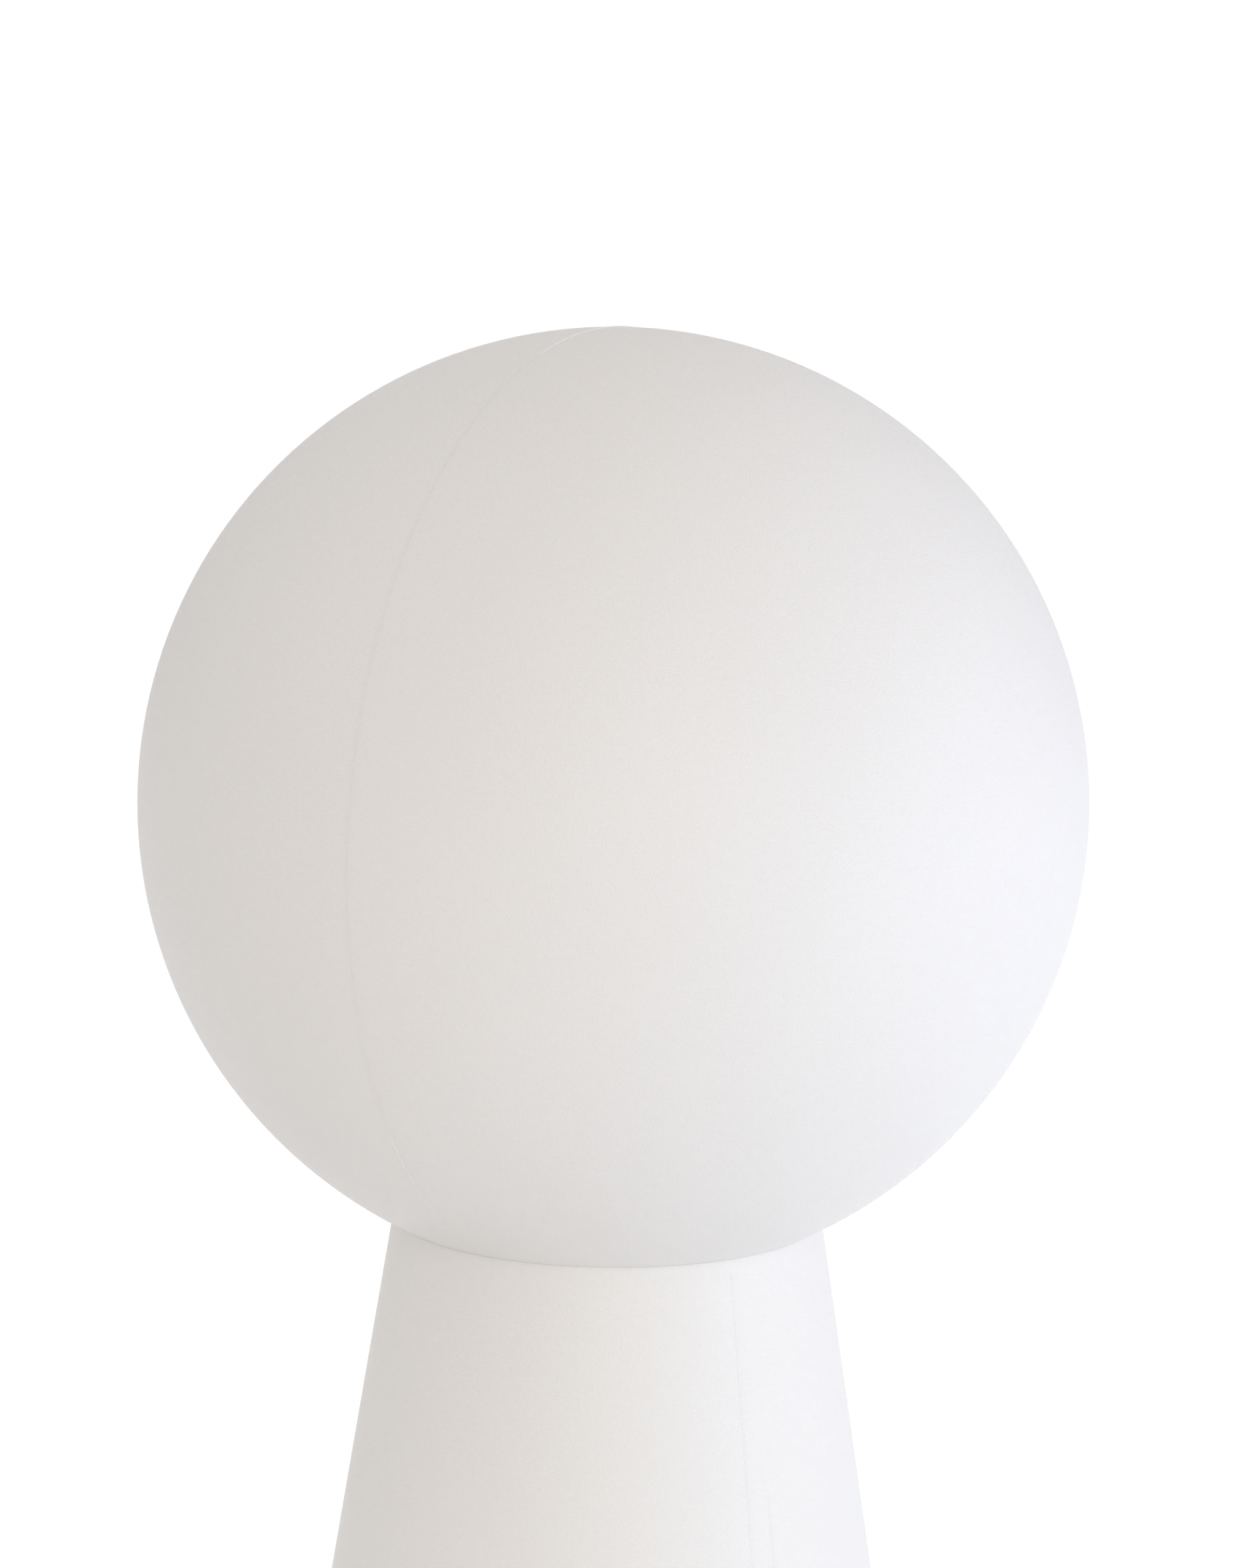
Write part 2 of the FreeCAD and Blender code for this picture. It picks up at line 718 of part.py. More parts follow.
def bore_gland_hole():
    """Bore the base's wall for the gland, square to the wall."""
    cone = doc.getObject("base_cone")
    lean = "atan(cone_slope)"
    sketch = new_sketch(cone, "XZ_Plane", f"-{cone_reach('gland_height')}")
    sketch.setExpression(".AttachmentOffset.Base.y", bound("gland_height"))
    sketch.AttachmentOffset.Rotation = FreeCAD.Rotation(FreeCAD.Vector(1, 0, 0), value_of(lean))
    sketch.setExpression(".AttachmentOffset.Rotation.Angle", bound(lean))
    draw_circle(sketch, "0", "0", "gland_shank + play")
    before = cone.Shape.Volume
    feature = cone.newObject("PartDesign::Pocket", "gland_hole")
    feature.Profile = sketch
    feature.Midplane = True
    feature.setExpression("Length", bound("gland_hole_length"))
    doc.recompute()
    check_cut(cone, before)


# ---------------------------------------------------------------- stem, bracket and wiring


def make_stem():
    """Hollow threaded rod from the bracket to the lampholder, with its nuts and washers."""
    turn(new_body("stem_tube"), [("stem_bore", "stem_foot"), ("stem_radius", "stem_foot"),
                                 ("stem_radius", "stem_top"), ("stem_bore", "stem_top")])
    bore = "stem_radius + slack"
    above_bracket = "bracket_top + washer_sheet"
    above_carrier = f"{CARRIER_TOP} + washer_sheet"
    nut("lower_stem_nuts", "nut_flats", bore, ["bracket_top - bracket_sheet - nut_height", above_bracket],
        "nut_height")
    nut("upper_stem_nuts", "nut_flats", bore, ["well_floor - washer_sheet - nut_height", above_carrier],
        "nut_height")
    washer("stem_washers", "washer_radius", bore,
           ["bracket_top", "well_floor - washer_sheet", CARRIER_TOP], "washer_sheet")


def make_bracket():
    """Bent steel bridge that holds the stem's foot above the ballast."""
    body = new_body("stem_bracket")
    inner_span = "(bracket_half_span - bracket_sheet)"
    inner_top = "(bracket_top - bracket_sheet)"
    foot_top = f"({BALLAST_TOP} + bracket_sheet)"
    small = "bracket_bend - bracket_sheet"
    pad(body, [
        ("-bracket_foot_reach", BALLAST_TOP),
        (f"-{inner_span}", BALLAST_TOP),
        (f"-{inner_span}", f"{inner_top} - ({small})"),
        (f"-{inner_span} + {small}", inner_top, small, "right"),
        (f"{inner_span} - ({small})", inner_top),
        (inner_span, f"{inner_top} - ({small})", small, "right"),
        (inner_span, BALLAST_TOP),
        ("bracket_foot_reach", BALLAST_TOP),
        ("bracket_foot_reach", foot_top),
        ("bracket_half_span", foot_top),
        ("bracket_half_span", "bracket_top - bracket_bend"),
        ("bracket_half_span - bracket_bend", "bracket_top", "bracket_bend", "left"),
        ("bracket_bend - bracket_half_span", "bracket_top"),
        ("-bracket_half_span", "bracket_top - bracket_bend", "bracket_bend", "left"),
        ("-bracket_half_span", foot_top),
        ("-bracket_foot_reach", foot_top),
    ], "bracket_width", plane="YZ_Plane", middle=True)
    drill(body, [("0", "0", "stem_radius + slack")], "bracket_top", "bracket_sheet")
    drill(body, [("0", side + "bracket_circle", "bracket_shank + play") for side in ("", "-")], foot_top,
          "bracket_sheet")
    drill(body, [("0", "lead_height", "earth_shank + play")], "bracket_half_span + overrun",
          "bracket_sheet + overrun * 2", plane="XZ_Plane")
    screws("bracket_screws", "bracket", foot_top, "bracket_circle", 2, 90, tip="bevel")


def make_carrier():
    """Vented plate on the well floor, its screws and the soft ring under the globe's neck."""
    body = new_body("carrier_plate")
    turn(body, [("0", "well_floor"), ("carrier_radius", "well_floor"), ("carrier_radius", CARRIER_TOP),
                ("0", CARRIER_TOP)])
    holes = [("0", "0", "stem_radius + slack")]
    holes += ring_of_holes("carrier_circle", THREE_ROUND, "carrier_shank + play")
    holes += ring_of_holes("vent_circle", range(0, 360, 60), "vent_radius")
    drill(body, holes, CARRIER_TOP, "carrier_sheet")
    screws("carrier_screws", "carrier", CARRIER_TOP, "carrier_circle", 3, 90)
    washer("seat_gasket", "gasket_outer", "gasket_inner", [CARRIER_TOP], "gasket_height")


def add_pins(body, places, start, height, plane="XY_Plane"):
    """Round pins (x, y, radius) that stand on a plane, from a start along its normal."""
    for x, y, radius in places:
        sketch = new_sketch(body, plane, start)
        draw_circle(sketch, x, y, radius)
        feature = body.newObject("PartDesign::Pad", f"{body.Name}_pin")
        feature.Profile = sketch
        feature.setExpression("Length", bound(height))
        doc.recompute()


def make_terminal_block():
    """Three-pole block on the ballast, with its wire screws and its two fixing screws."""
    body = new_body("terminal_block")
    top = f"{BALLAST_TOP} + block_height"
    corners = [("block_near", "-pole_pitch * 2"), ("block_far", "-pole_pitch * 2"),
               ("block_far", "pole_pitch"), ("block_near", "pole_pitch")]
    fixings = [(BLOCK_MIDDLE, row, "block_shank + slack") for row in BLOCK_FIXINGS]
    pad(body, corners, "block_height", offset=BALLAST_TOP, holes=fixings)
    clamps = [(f"{BLOCK_MIDDLE} {side} clamp_reach", pole) for side in "+-" for pole in POLES]
    drill(body, [(x, y, "clamp_radius + slack") for x, y in clamps], top, "clamp_sunk")
    for face in ("block_near + wire_hole", "block_far + overrun"):
        drill(body, [(pole, "lead_height", "core_radius + slack") for pole in POLES], face,
              "wire_hole + overrun", plane="YZ_Plane")
    add_pins(new_body("terminal_clamp_screws"), [(x, y, "clamp_radius") for x, y in clamps],
             f"{top} - clamp_sunk", "clamp_height")
    screws("terminal_block_screws", "block", top, BLOCK_MIDDLE, rows=BLOCK_FIXINGS)


def make_leads():
    """Sheathed lead up the stem, and its two cores at the block and in the lampholder."""
    run_wire(new_body("inner_lead"), [
        ("lead_start", "lead_height"),
        ("lead_bend", "lead_height"),
        ("0", "lead_height + lead_bend", "lead_bend", "right"),
        ("0", "lead_top"),
    ], "lead_radius", "x")
    low = new_body("lead_cores")
    for sign, side in ((1, "left"), (-1, "right")):
        route = fan("lead_start", f"{sign} * core_spread", "core_fan",
                    f"{sign} * (pole_pitch / 2 - core_spread)", side)
        route.append(("block_near + core_depth", f"{sign} * pole_pitch / 2"))
        run_wire(low, route, "core_radius", "x", "XY_Plane", "lead_height")
    high = new_body("holder_cores")
    turn_up = "lead_top + core_rise"
    for sign, out, back in ((1, "right", "left"), (-1, "left", "right")):
        run_wire(high, [
            (f"{sign} * core_spread", "lead_top"),
            (f"{sign} * core_spread", turn_up),
            (f"{sign} * (core_spread + core_bend)", f"{turn_up} + core_bend", "core_bend", out),
            (f"{sign} * (terminal_reach - core_bend)", f"{turn_up} + core_bend"),
            (f"{sign} * terminal_reach", f"{turn_up} + core_bend * 2", "core_bend", back),
            (f"{sign} * terminal_reach", "terminal_bottom"),
        ], "core_radius", "z")


def earth_line():
    """How far the earth lead's last run stands behind the lamp's axis, so that it enters the tag."""
    return "-(bracket_half_span + tag_sheet + barrel_radius - barrel_sink)"


def make_earth_lead():
    """Earth lead from the block to the tag on the bracket's leg."""
    start = "-pole_pitch * 1.5"
    shift = f"({earth_line()} - ({start}))"
    radius = f"({shift} ^ 2 + (earth_fan_start - earth_fan_end) ^ 2) / (4 * abs({shift}))"
    run_wire(new_body("earth_lead"), [
        ("block_near + core_depth", start),
        ("earth_fan_start", start),
        ("(earth_fan_start + earth_fan_end) / 2", f"{start} + {shift} / 2", radius, "left"),
        ("earth_fan_end", earth_line(), radius, "right"),
        ("tag_radius + barrel_entry", earth_line()),
    ], "core_radius", "x", "XY_Plane", "lead_height")


def make_earth_tag():
    """Ring tag, its barrel round the earth lead, and the screw and nut that hold it to the leg."""
    tag = new_body("earth_tag")
    rise = "tag_radius / 2"
    flat = "tag_radius * sqrt(3) / 2"
    tongue = "tag_radius + tag_tongue"
    pad(tag, [
        (flat, f"lead_height + {rise}", "tag_radius", "right"),
        (tongue, f"lead_height + {rise}"),
        (tongue, f"lead_height - {rise}"),
        (flat, f"lead_height - {rise}"),
        ("0", "lead_height - tag_radius", "tag_radius", "right"),
        ("-tag_radius", "lead_height", "tag_radius", "right"),
        ("0", "lead_height + tag_radius", "tag_radius", "right"),
    ], "tag_sheet", plane="XZ_Plane", offset="bracket_half_span",
        holes=[("0", "lead_height", "earth_shank + slack")])
    barrel = new_sketch(tag, "YZ_Plane", "tag_radius + barrel_start")
    for radius in ("barrel_radius", "core_radius + slack"):
        draw_circle(barrel, earth_line(), "lead_height", radius)
    feature = tag.newObject("PartDesign::Pad", "earth_tag_barrel")
    feature.Profile = barrel
    feature.setExpression("Length", bound("barrel_length"))
    screw = new_body("earth_screw")
    seat = "bracket_half_span + tag_sheet"
    add_pins(screw, [("0", "lead_height", "earth_shank")], f"{seat} - earth_length", "earth_length",
             plane="XZ_Plane")
    add_pins(screw, [("0", "lead_height", "earth_head")], seat, "earth_head_height", plane="XZ_Plane")
    corners = [(x, f"lead_height + {y}") for x, y in hexagon("small_nut_flats")]
    pad(new_body("earth_nut"), corners, "small_nut_height", plane="XZ_Plane",
        offset="bracket_half_span - bracket_sheet - small_nut_height",
        holes=[("0", "lead_height", "earth_shank + slack")])


# ---------------------------------------------------------------- lampholder


def make_lampholder():
    """E27 lampholder: cap on the stem, insulating core, contact, terminals and shell."""
    inside = "(holder_radius - holder_wall)"
    turn(new_body("lampholder_cap"), [
        ("stem_radius + slack", "holder_bottom"),
        ("holder_boss", "holder_bottom"),
        ("holder_boss", "holder_bottom + holder_boss_height"),
        ("holder_radius", "holder_bottom + holder_flare"),
        ("holder_radius", "holder_joint"),
        (inside, "holder_joint"),
        (inside, "holder_bottom + holder_flare + overrun"),
        ("holder_boss", "holder_bottom + holder_boss_depth"),
        ("stem_radius + slack", "holder_bottom + holder_boss_depth"),
    ])
    bore = "(sleeve_root + sleeve_wall + slack * 2)"
    collar_top = "core_top + core_collar_height"
    turn(new_body("lampholder_core"), [
        ("0", "core_bottom"),
        (f"{inside} - core_gap", "core_bottom"),
        (f"{inside} - core_gap", "core_top"),
        (f"{bore} + core_collar", "core_top"),
        (f"{bore} + core_collar", collar_top),
        (bore, collar_top),
        (bore, "core_top"),
        ("0", "core_top"),
    ])
    terminals = [(f"{side}terminal_reach", "0", "terminal_radius") for side in ("", "-")]
    add_pins(new_body("lampholder_terminals"), terminals, "terminal_bottom", "core_bottom - terminal_bottom")
    turn(new_body("lampholder_shell"), [
        (inside, "holder_joint"),
        ("holder_radius", "holder_joint"),
        ("holder_radius - holder_draft", "holder_top"),
        ("holder_mouth", "holder_top"),
        ("holder_mouth", "holder_top - holder_wall"),
        (f"{inside} - holder_draft", "holder_top - holder_wall"),
    ])


def make_contact():
    """Sprung brass tongue on the lampholder's core, under the bulb's tip."""
    crown = "(tip_height - tongue_gap)"
    shift = "tongue_sheet / 2"
    pad(new_body("lampholder_contact"), [
        ("-tongue_foot", "core_top"),
        ("-tongue_foot", "core_top + tongue_sheet"),
        ("-tongue_bend", "core_top + tongue_sheet"),
        ("-tongue_crown", crown),
        ("tongue_end", crown),
        ("tongue_end", f"{crown} - tongue_sheet"),
        (f"-tongue_crown + {shift}", f"{crown} - tongue_sheet"),
        (f"-tongue_bend + {shift}", "core_top"),
    ], "tongue_width", plane="XZ_Plane", middle=True)


def ridge(root, crest, height, foot):
    """A thread ridge's section: its root bites into the wall, its crest is flat."""
    return [(root, f"{height} - {foot}"), (crest, f"{height} - thread_flat"),
            (crest, f"{height} + thread_flat"), (root, f"{height} + {foot}")]


def make_sleeve():
    """Threaded sleeve that takes the bulb, half a pitch out of step with the bulb's own thread."""
    sleeve = new_body("lampholder_sleeve")
    turn(sleeve, [("sleeve_root", "sleeve_bottom"), ("sleeve_root + sleeve_wall", "sleeve_bottom"),
                  ("sleeve_root + sleeve_wall", "sleeve_top"), ("sleeve_root", "sleeve_top")])
    thread(sleeve, ridge("sleeve_root + thread_bite", "sleeve_crest", "thread_start + thread_pitch / 2",
                         "sleeve_thread_foot"))


# ---------------------------------------------------------------- bulb


def make_bulb_cap():
    """The bulb's tip contact, the glass round it and the E27 screw cap."""
    button_top = "tip_height + tip_rise"
    crown_radius = "(tip_button ^ 2 + tip_rise ^ 2) / (2 * tip_rise)"
    turn(new_body("bulb_tip_contact"), [
        ("0", "tip_height"), ("tip_button", button_top, crown_radius, "left"), ("0", button_top),
    ])
    glass_top = "cap_bottom - seat_gap"
    turn(new_body("bulb_tip_insulator"), [
        ("0", button_top), ("insulator_top", button_top), ("insulator_radius", glass_top), ("0", glass_top),
    ])
    cap = new_body("bulb_screw_cap")
    turn(cap, [("cap_root - cap_wall", "cap_bottom"), ("cap_root", "cap_bottom"), ("cap_root", "cap_top"),
               ("cap_root - cap_wall", "cap_top")])
    thread(cap, ridge("cap_root - thread_bite", "cap_crest", "thread_start", "cap_thread_foot"))


def make_bulb():
    """LED bulb above its cap: housing, LED board, driver board and opal diffuser."""
    step = "cap_top + housing_step"
    turn(new_body("bulb_housing"), [
        ("cap_root + slack", "cap_top - housing_lap"),
        ("housing_collar", "cap_top - housing_lap"),
        ("housing_foot", step),
        ("housing_radius", "housing_top", "housing_curve", "left"),
        ("housing_radius - housing_wall", "housing_top"),
        ("housing_foot - housing_wall", step, "housing_curve", "right"),
    ])
    board_bottom = "housing_top - led_board_drop"
    board_top = f"{board_bottom} + board_sheet"
    turn(new_body("bulb_led_board"), [
        ("0", board_bottom), ("led_board_radius", board_bottom), ("led_board_radius", board_top),
        ("0", board_top),
    ])
    crown = "(bulb_top - diffuser_radius)"
    inner = "(diffuser_radius - diffuser_wall)"
    turn(new_body("bulb_diffuser"), [
        ("housing_radius - diffuser_wall", "housing_top"),
        ("housing_radius", "housing_top"),
        ("diffuser_radius", crown, "diffuser_curve", "left"),
        ("0", "bulb_top", "diffuser_radius", "left"),
        ("0", "bulb_top - diffuser_wall"),
        (inner, crown, inner, "right"),
    ])
    foot, head = "cap_top - driver_depth", "housing_top - driver_depth"
    corners = [("-driver_half_width", foot), ("driver_half_width", foot), ("driver_half_width", head),
               ("-driver_half_width", head)]
    pad(new_body("bulb_driver_board"), corners, "board_sheet", plane="XZ_Plane", middle=True)


# ---------------------------------------------------------------- build, check and write


def check_and_write():
    """Stop on any failed object or bad shape, then write one STEP file per sub-part."""
    for item in doc.Objects:
        if "Invalid" in item.State or "Error" in item.State:
            raise RuntimeError(f"{item.Name} failed: {item.State}")
    for piece in pieces:
        if piece.Shape.isNull() or not piece.Shape.isValid():
            raise RuntimeError(f"{piece.Label} has a bad shape")
    os.makedirs("parts", exist_ok=True)
    for piece in pieces:
        piece.Shape.exportStep(f"parts/{piece.Label}.step")


fill_sheet()
make_globe()
make_base_cone()
bore_gland_hole()
make_bottom_plate()
make_feet()
make_ballast()
make_gland()
make_stem()
make_bracket()
make_carrier()
make_terminal_block()
make_leads()
make_earth_lead()
make_earth_tag()
make_lampholder()
make_contact()
make_sleeve()
make_bulb_cap()
make_bulb()
check_and_write()
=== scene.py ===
import json
import math

import bmesh
import bpy
from mathutils import Matrix, Vector


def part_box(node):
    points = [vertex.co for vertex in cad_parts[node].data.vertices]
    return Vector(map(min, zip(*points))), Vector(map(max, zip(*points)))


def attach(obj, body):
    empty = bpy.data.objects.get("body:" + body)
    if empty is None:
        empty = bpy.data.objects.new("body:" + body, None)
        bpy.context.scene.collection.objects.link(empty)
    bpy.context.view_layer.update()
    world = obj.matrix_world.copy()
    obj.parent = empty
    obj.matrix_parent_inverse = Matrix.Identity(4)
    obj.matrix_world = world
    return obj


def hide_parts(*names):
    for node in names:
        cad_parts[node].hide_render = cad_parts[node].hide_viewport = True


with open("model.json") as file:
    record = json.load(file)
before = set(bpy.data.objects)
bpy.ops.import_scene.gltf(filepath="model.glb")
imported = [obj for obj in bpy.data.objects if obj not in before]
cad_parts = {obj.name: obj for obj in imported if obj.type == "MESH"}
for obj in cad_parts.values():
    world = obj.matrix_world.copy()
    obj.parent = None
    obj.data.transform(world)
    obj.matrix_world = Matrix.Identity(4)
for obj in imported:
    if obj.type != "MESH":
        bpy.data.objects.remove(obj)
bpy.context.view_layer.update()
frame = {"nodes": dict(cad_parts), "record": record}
nodes = frame["nodes"]


# ---------------------------------------------------------------- globe
# A blow-moulded polyethylene ball, 500 mm across, with an open neck below that drops into the base.
# The wall is 3 mm, and the neck is cut off square after moulding. The ball is smaller than the whole
# part by the weld that stands on its pole.

WELD_HEIGHT = 0.0004
GLOBE_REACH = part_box("globe")[1].x
GLOBE_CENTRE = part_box("globe")[1].z - GLOBE_REACH
GLOBE_RADIUS = GLOBE_REACH - WELD_HEIGHT
GLOBE_WALL = 0.003
NECK_RADIUS = 0.095
NECK_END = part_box("globe")[0].z
NECK_BEND = 0.004
ROUND_STEPS = 192
SHARP_ANGLE = math.radians(35)
RING_ROOM = 0.0004


def placed(name, shape):
    """Make a finished bmesh into an object of the scene."""
    mesh = bpy.data.meshes.new(name)
    shape.to_mesh(mesh)
    shape.free()
    placed_object = bpy.data.objects.new(name, mesh)
    bpy.context.scene.collection.objects.link(placed_object)
    return placed_object


def new_piece(name, shape, body):
    """Make a finished bmesh into a smooth piece that rides on a body."""
    piece = placed(name, shape)
    for polygon in piece.data.polygons:
        polygon.use_smooth = True
    piece.data.set_sharp_from_angle(angle=SHARP_ANGLE)
    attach(piece, body)
    return piece


def round_ring(shape, reach, height, size, steps):
    """Round the corner that runs round the lamp's axis at a reach from it and at a height."""
    ring = [edge for edge in shape.edges
            if all(abs(math.hypot(vert.co.x, vert.co.y) - reach) < RING_ROOM
                   and abs(vert.co.z - height) < RING_ROOM for vert in edge.verts)]
    bmesh.ops.bevel(shape, geom=ring, offset=size, segments=steps, profile=0.5, affect="EDGES", material=-1)


ball = bmesh.new()
bmesh.ops.create_uvsphere(ball, u_segments=ROUND_STEPS, v_segments=ROUND_STEPS // 2, radius=GLOBE_RADIUS)
bmesh.ops.translate(ball, verts=ball.verts, vec=(0, 0, GLOBE_CENTRE))
neck_top = GLOBE_CENTRE - math.sqrt(GLOBE_RADIUS ** 2 - NECK_RADIUS ** 2)
bmesh.ops.bisect_plane(ball, geom=ball.verts[:] + ball.edges[:] + ball.faces[:], plane_co=(0, 0, neck_top),
                       plane_no=(0, 0, 1), clear_inner=True)
open_ring = [edge for edge in ball.edges if edge.is_boundary]
neck = bmesh.ops.extrude_edge_only(ball, edges=open_ring)["geom"]
neck_verts = [item for item in neck if isinstance(item, bmesh.types.BMVert)]
bmesh.ops.translate(ball, verts=neck_verts, vec=(0, 0, NECK_END - neck_top))
round_ring(ball, NECK_RADIUS, neck_top, NECK_BEND, steps=4)
bmesh.ops.recalc_face_normals(ball, faces=ball.faces)
globe = new_piece("globe_shell", ball, "globe")
wall = globe.modifiers.new("wall", "SOLIDIFY")
wall.thickness = GLOBE_WALL
wall.offset = -1
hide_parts("globe")


def linear(colour):
    """An sRGB hex colour as linear red, green, blue and alpha."""
    parts = [int(colour[place:place + 2], 16) / 255 for place in (1, 3, 5)]
    return (*[part / 12.92 if part <= 0.04045 else ((part + 0.055) / 1.055) ** 2.4 for part in parts], 1)


def new_finish(name, colour, roughness, **settings):
    """A material whose shader has plain values; returns the material and its shader."""
    material = bpy.data.materials.new(name)
    material.use_nodes = True
    shader = material.node_tree.nodes["Principled BSDF"]
    shader.inputs["Base Color"].default_value = linear(colour)
    shader.inputs["Roughness"].default_value = roughness
    for socket, value in settings.items():
        shader.inputs[socket.replace("_", " ")].default_value = value
    return material, shader


def link(owner, output, socket):
    """Lead an output to a socket, in a material or the world."""
    owner.node_tree.links.new(output, socket)


def add_node(owner, kind, inputs, **settings):
    """Add one shader node, with its settings, and with each input a value or another node's output."""
    added = owner.node_tree.nodes.new(kind)
    for name, value in settings.items():
        setattr(added, name, value)
    for socket, value in inputs.items():
        if isinstance(value, bpy.types.NodeSocket):
            link(owner, value, added.inputs[socket])
        else:
            added.inputs[socket].default_value = value
    return added


# Natural polyethylene: a satin skin with the fine orange peel of the mould's blasted wall, about
# 0.8 mm from crest to crest, a slight waviness from cooling, and colour that drifts by a shade. Here
# and there a scorched grain of resin shows as a dark fleck, and a trapped bubble as a pale pit.

POLYETHYLENE_IOR = 1.51
SATIN_ROUGHNESS = (0.40, 0.50)
SCATTER_DEPTHS = (0.0025, 0.0021, 0.0018)
PEEL_SPACING = 0.0008
PEEL_DEPTH = 0.0003
WAVE_SPACING = 0.055
WAVE_DEPTH = 0.0008
DRIFT_SPACING = 0.16
FLECK_SPACING = 0.0085
FLECK_RADIUS = 0.00022
FLECK_COLOUR = "#8F8579"
PIT_SPACING = 0.0067
PIT_RADIUS = 0.0003
PIT_DEPTH = 0.0001
PIT_COLOUR = "#FAFAF8"


def moulded_polyethylene(name, colour, drift_colour, scatter=0.3):
    """The satin white of a blow-moulded shell, with the share of light that goes in and scatters."""
    material, shader = new_finish(name, colour, sum(SATIN_ROUGHNESS) / 2, IOR=POLYETHYLENE_IOR,
                                  Subsurface_Weight=scatter, Subsurface_Radius=SCATTER_DEPTHS,
                                  Subsurface_Scale=1.0)
    place = add_node(material, "ShaderNodeTexCoord", {}).outputs["Object"]
    drift = add_node(material, "ShaderNodeTexNoise",
                     {"Vector": place, "Scale": 1 / DRIFT_SPACING, "Detail": 3, "Roughness": 0.5})
    shown = add_node(material, "ShaderNodeMix",
                     {"Factor": drift.outputs["Fac"], "A": linear(colour), "B": linear(drift_colour)},
                     data_type="RGBA").outputs["Result"]
    spots = []
    for spacing, radius, spot_colour, share in ((FLECK_SPACING, FLECK_RADIUS, FLECK_COLOUR, 0.6),
                                                (PIT_SPACING, PIT_RADIUS, PIT_COLOUR, 0.5)):
        cell = add_node(material, "ShaderNodeTexVoronoi", {"Vector": place, "Scale": 1 / spacing})
        spots.append(add_node(material, "ShaderNodeMapRange",
                              {"Value": cell.outputs["Distance"], "From Max": radius / spacing,
                               "To Min": share, "To Max": 0}).outputs["Result"])
        shown = add_node(material, "ShaderNodeMix",
                         {"Factor": spots[-1], "A": shown, "B": linear(spot_colour)},
                         data_type="RGBA").outputs["Result"]
    link(material, shown, shader.inputs["Base Color"])
    peel = add_node(material, "ShaderNodeTexNoise",
                    {"Vector": place, "Scale": 1 / PEEL_SPACING, "Detail": 2, "Roughness": 0.55})
    wave = add_node(material, "ShaderNodeTexNoise",
                    {"Vector": place, "Scale": 1 / WAVE_SPACING, "Detail": 1, "Roughness": 0.4})
    normal = add_node(material, "ShaderNodeBump",
                      {"Height": wave.outputs["Fac"], "Strength": 0.5,
                       "Distance": WAVE_DEPTH}).outputs["Normal"]
    for height, strength, depth in ((peel.outputs["Fac"], 0.9, PEEL_DEPTH), (spots[-1], 0.4, -PIT_DEPTH)):
        normal = add_node(material, "ShaderNodeBump",
                          {"Height": height, "Strength": strength, "Distance": depth,
                           "Normal": normal}).outputs["Normal"]
    link(material, normal, shader.inputs["Normal"])
    least, most = SATIN_ROUGHNESS
    sheen = add_node(material, "ShaderNodeMapRange",
                     {"Value": drift.outputs["Fac"], "To Min": least, "To Max": most})
    link(material, sheen.outputs["Result"], shader.inputs["Roughness"])
    return material


globe.data.materials.append(moulded_polyethylene("moulded_polyethylene_globe", "#EEEAE6", "#EBE7E3"))


# ---------------------------------------------------------------- globe's parting line and pinch-off weld
# The two halves of the blow mould meet on a circle through the pole and leave a hair of flash, which is
# trimmed off where the globe sits. At the pole the closed end of the blown tube is a raised weld, and
# low on the side the flash stands taller for a hand's breadth.

PARTING_TURN = math.radians(29.1)
PARTING_LEAN = math.radians(1.85)
FLASH_WIDTH = 0.0008
FLASH_HEIGHT = 0.000025
FLASH_END = math.radians(151)
WELD_WIDTH = 0.0009
WELD_REACH = math.radians(24)
LOW_FLASH_WIDTH = 0.0006
LOW_FLASH_HEIGHT = 0.0001
LOW_FLASH = (math.radians(124), math.radians(142))
BEAD_SIDES = 10
BEAD_TAPER = math.radians(3)
BEAD_TIP = 0.05


def bead_section(width, height):
    """A bmesh with a bead's oval section, which the surface that it lies on cuts in half."""
    shape = bmesh.new()
    bmesh.ops.create_circle(shape, segments=BEAD_SIDES, radius=1)
    bmesh.ops.scale(shape, verts=shape.verts, vec=(width / 2, height, 1))
    return shape


def turn(shape, angle, axis):
    """Turn a bmesh about one of the frame's axes."""
    bmesh.ops.rotate(shape, verts=shape.verts, cent=(0, 0, 0), matrix=Matrix.Rotation(angle, 3, axis))


def close_bead(shape):
    """Close a bead's two ends, and point its faces outwards."""
    bmesh.ops.holes_fill(shape, edges=[edge for edge in shape.edges if edge.is_boundary], sides=0)
    bmesh.ops.recalc_face_normals(shape, faces=shape.faces)


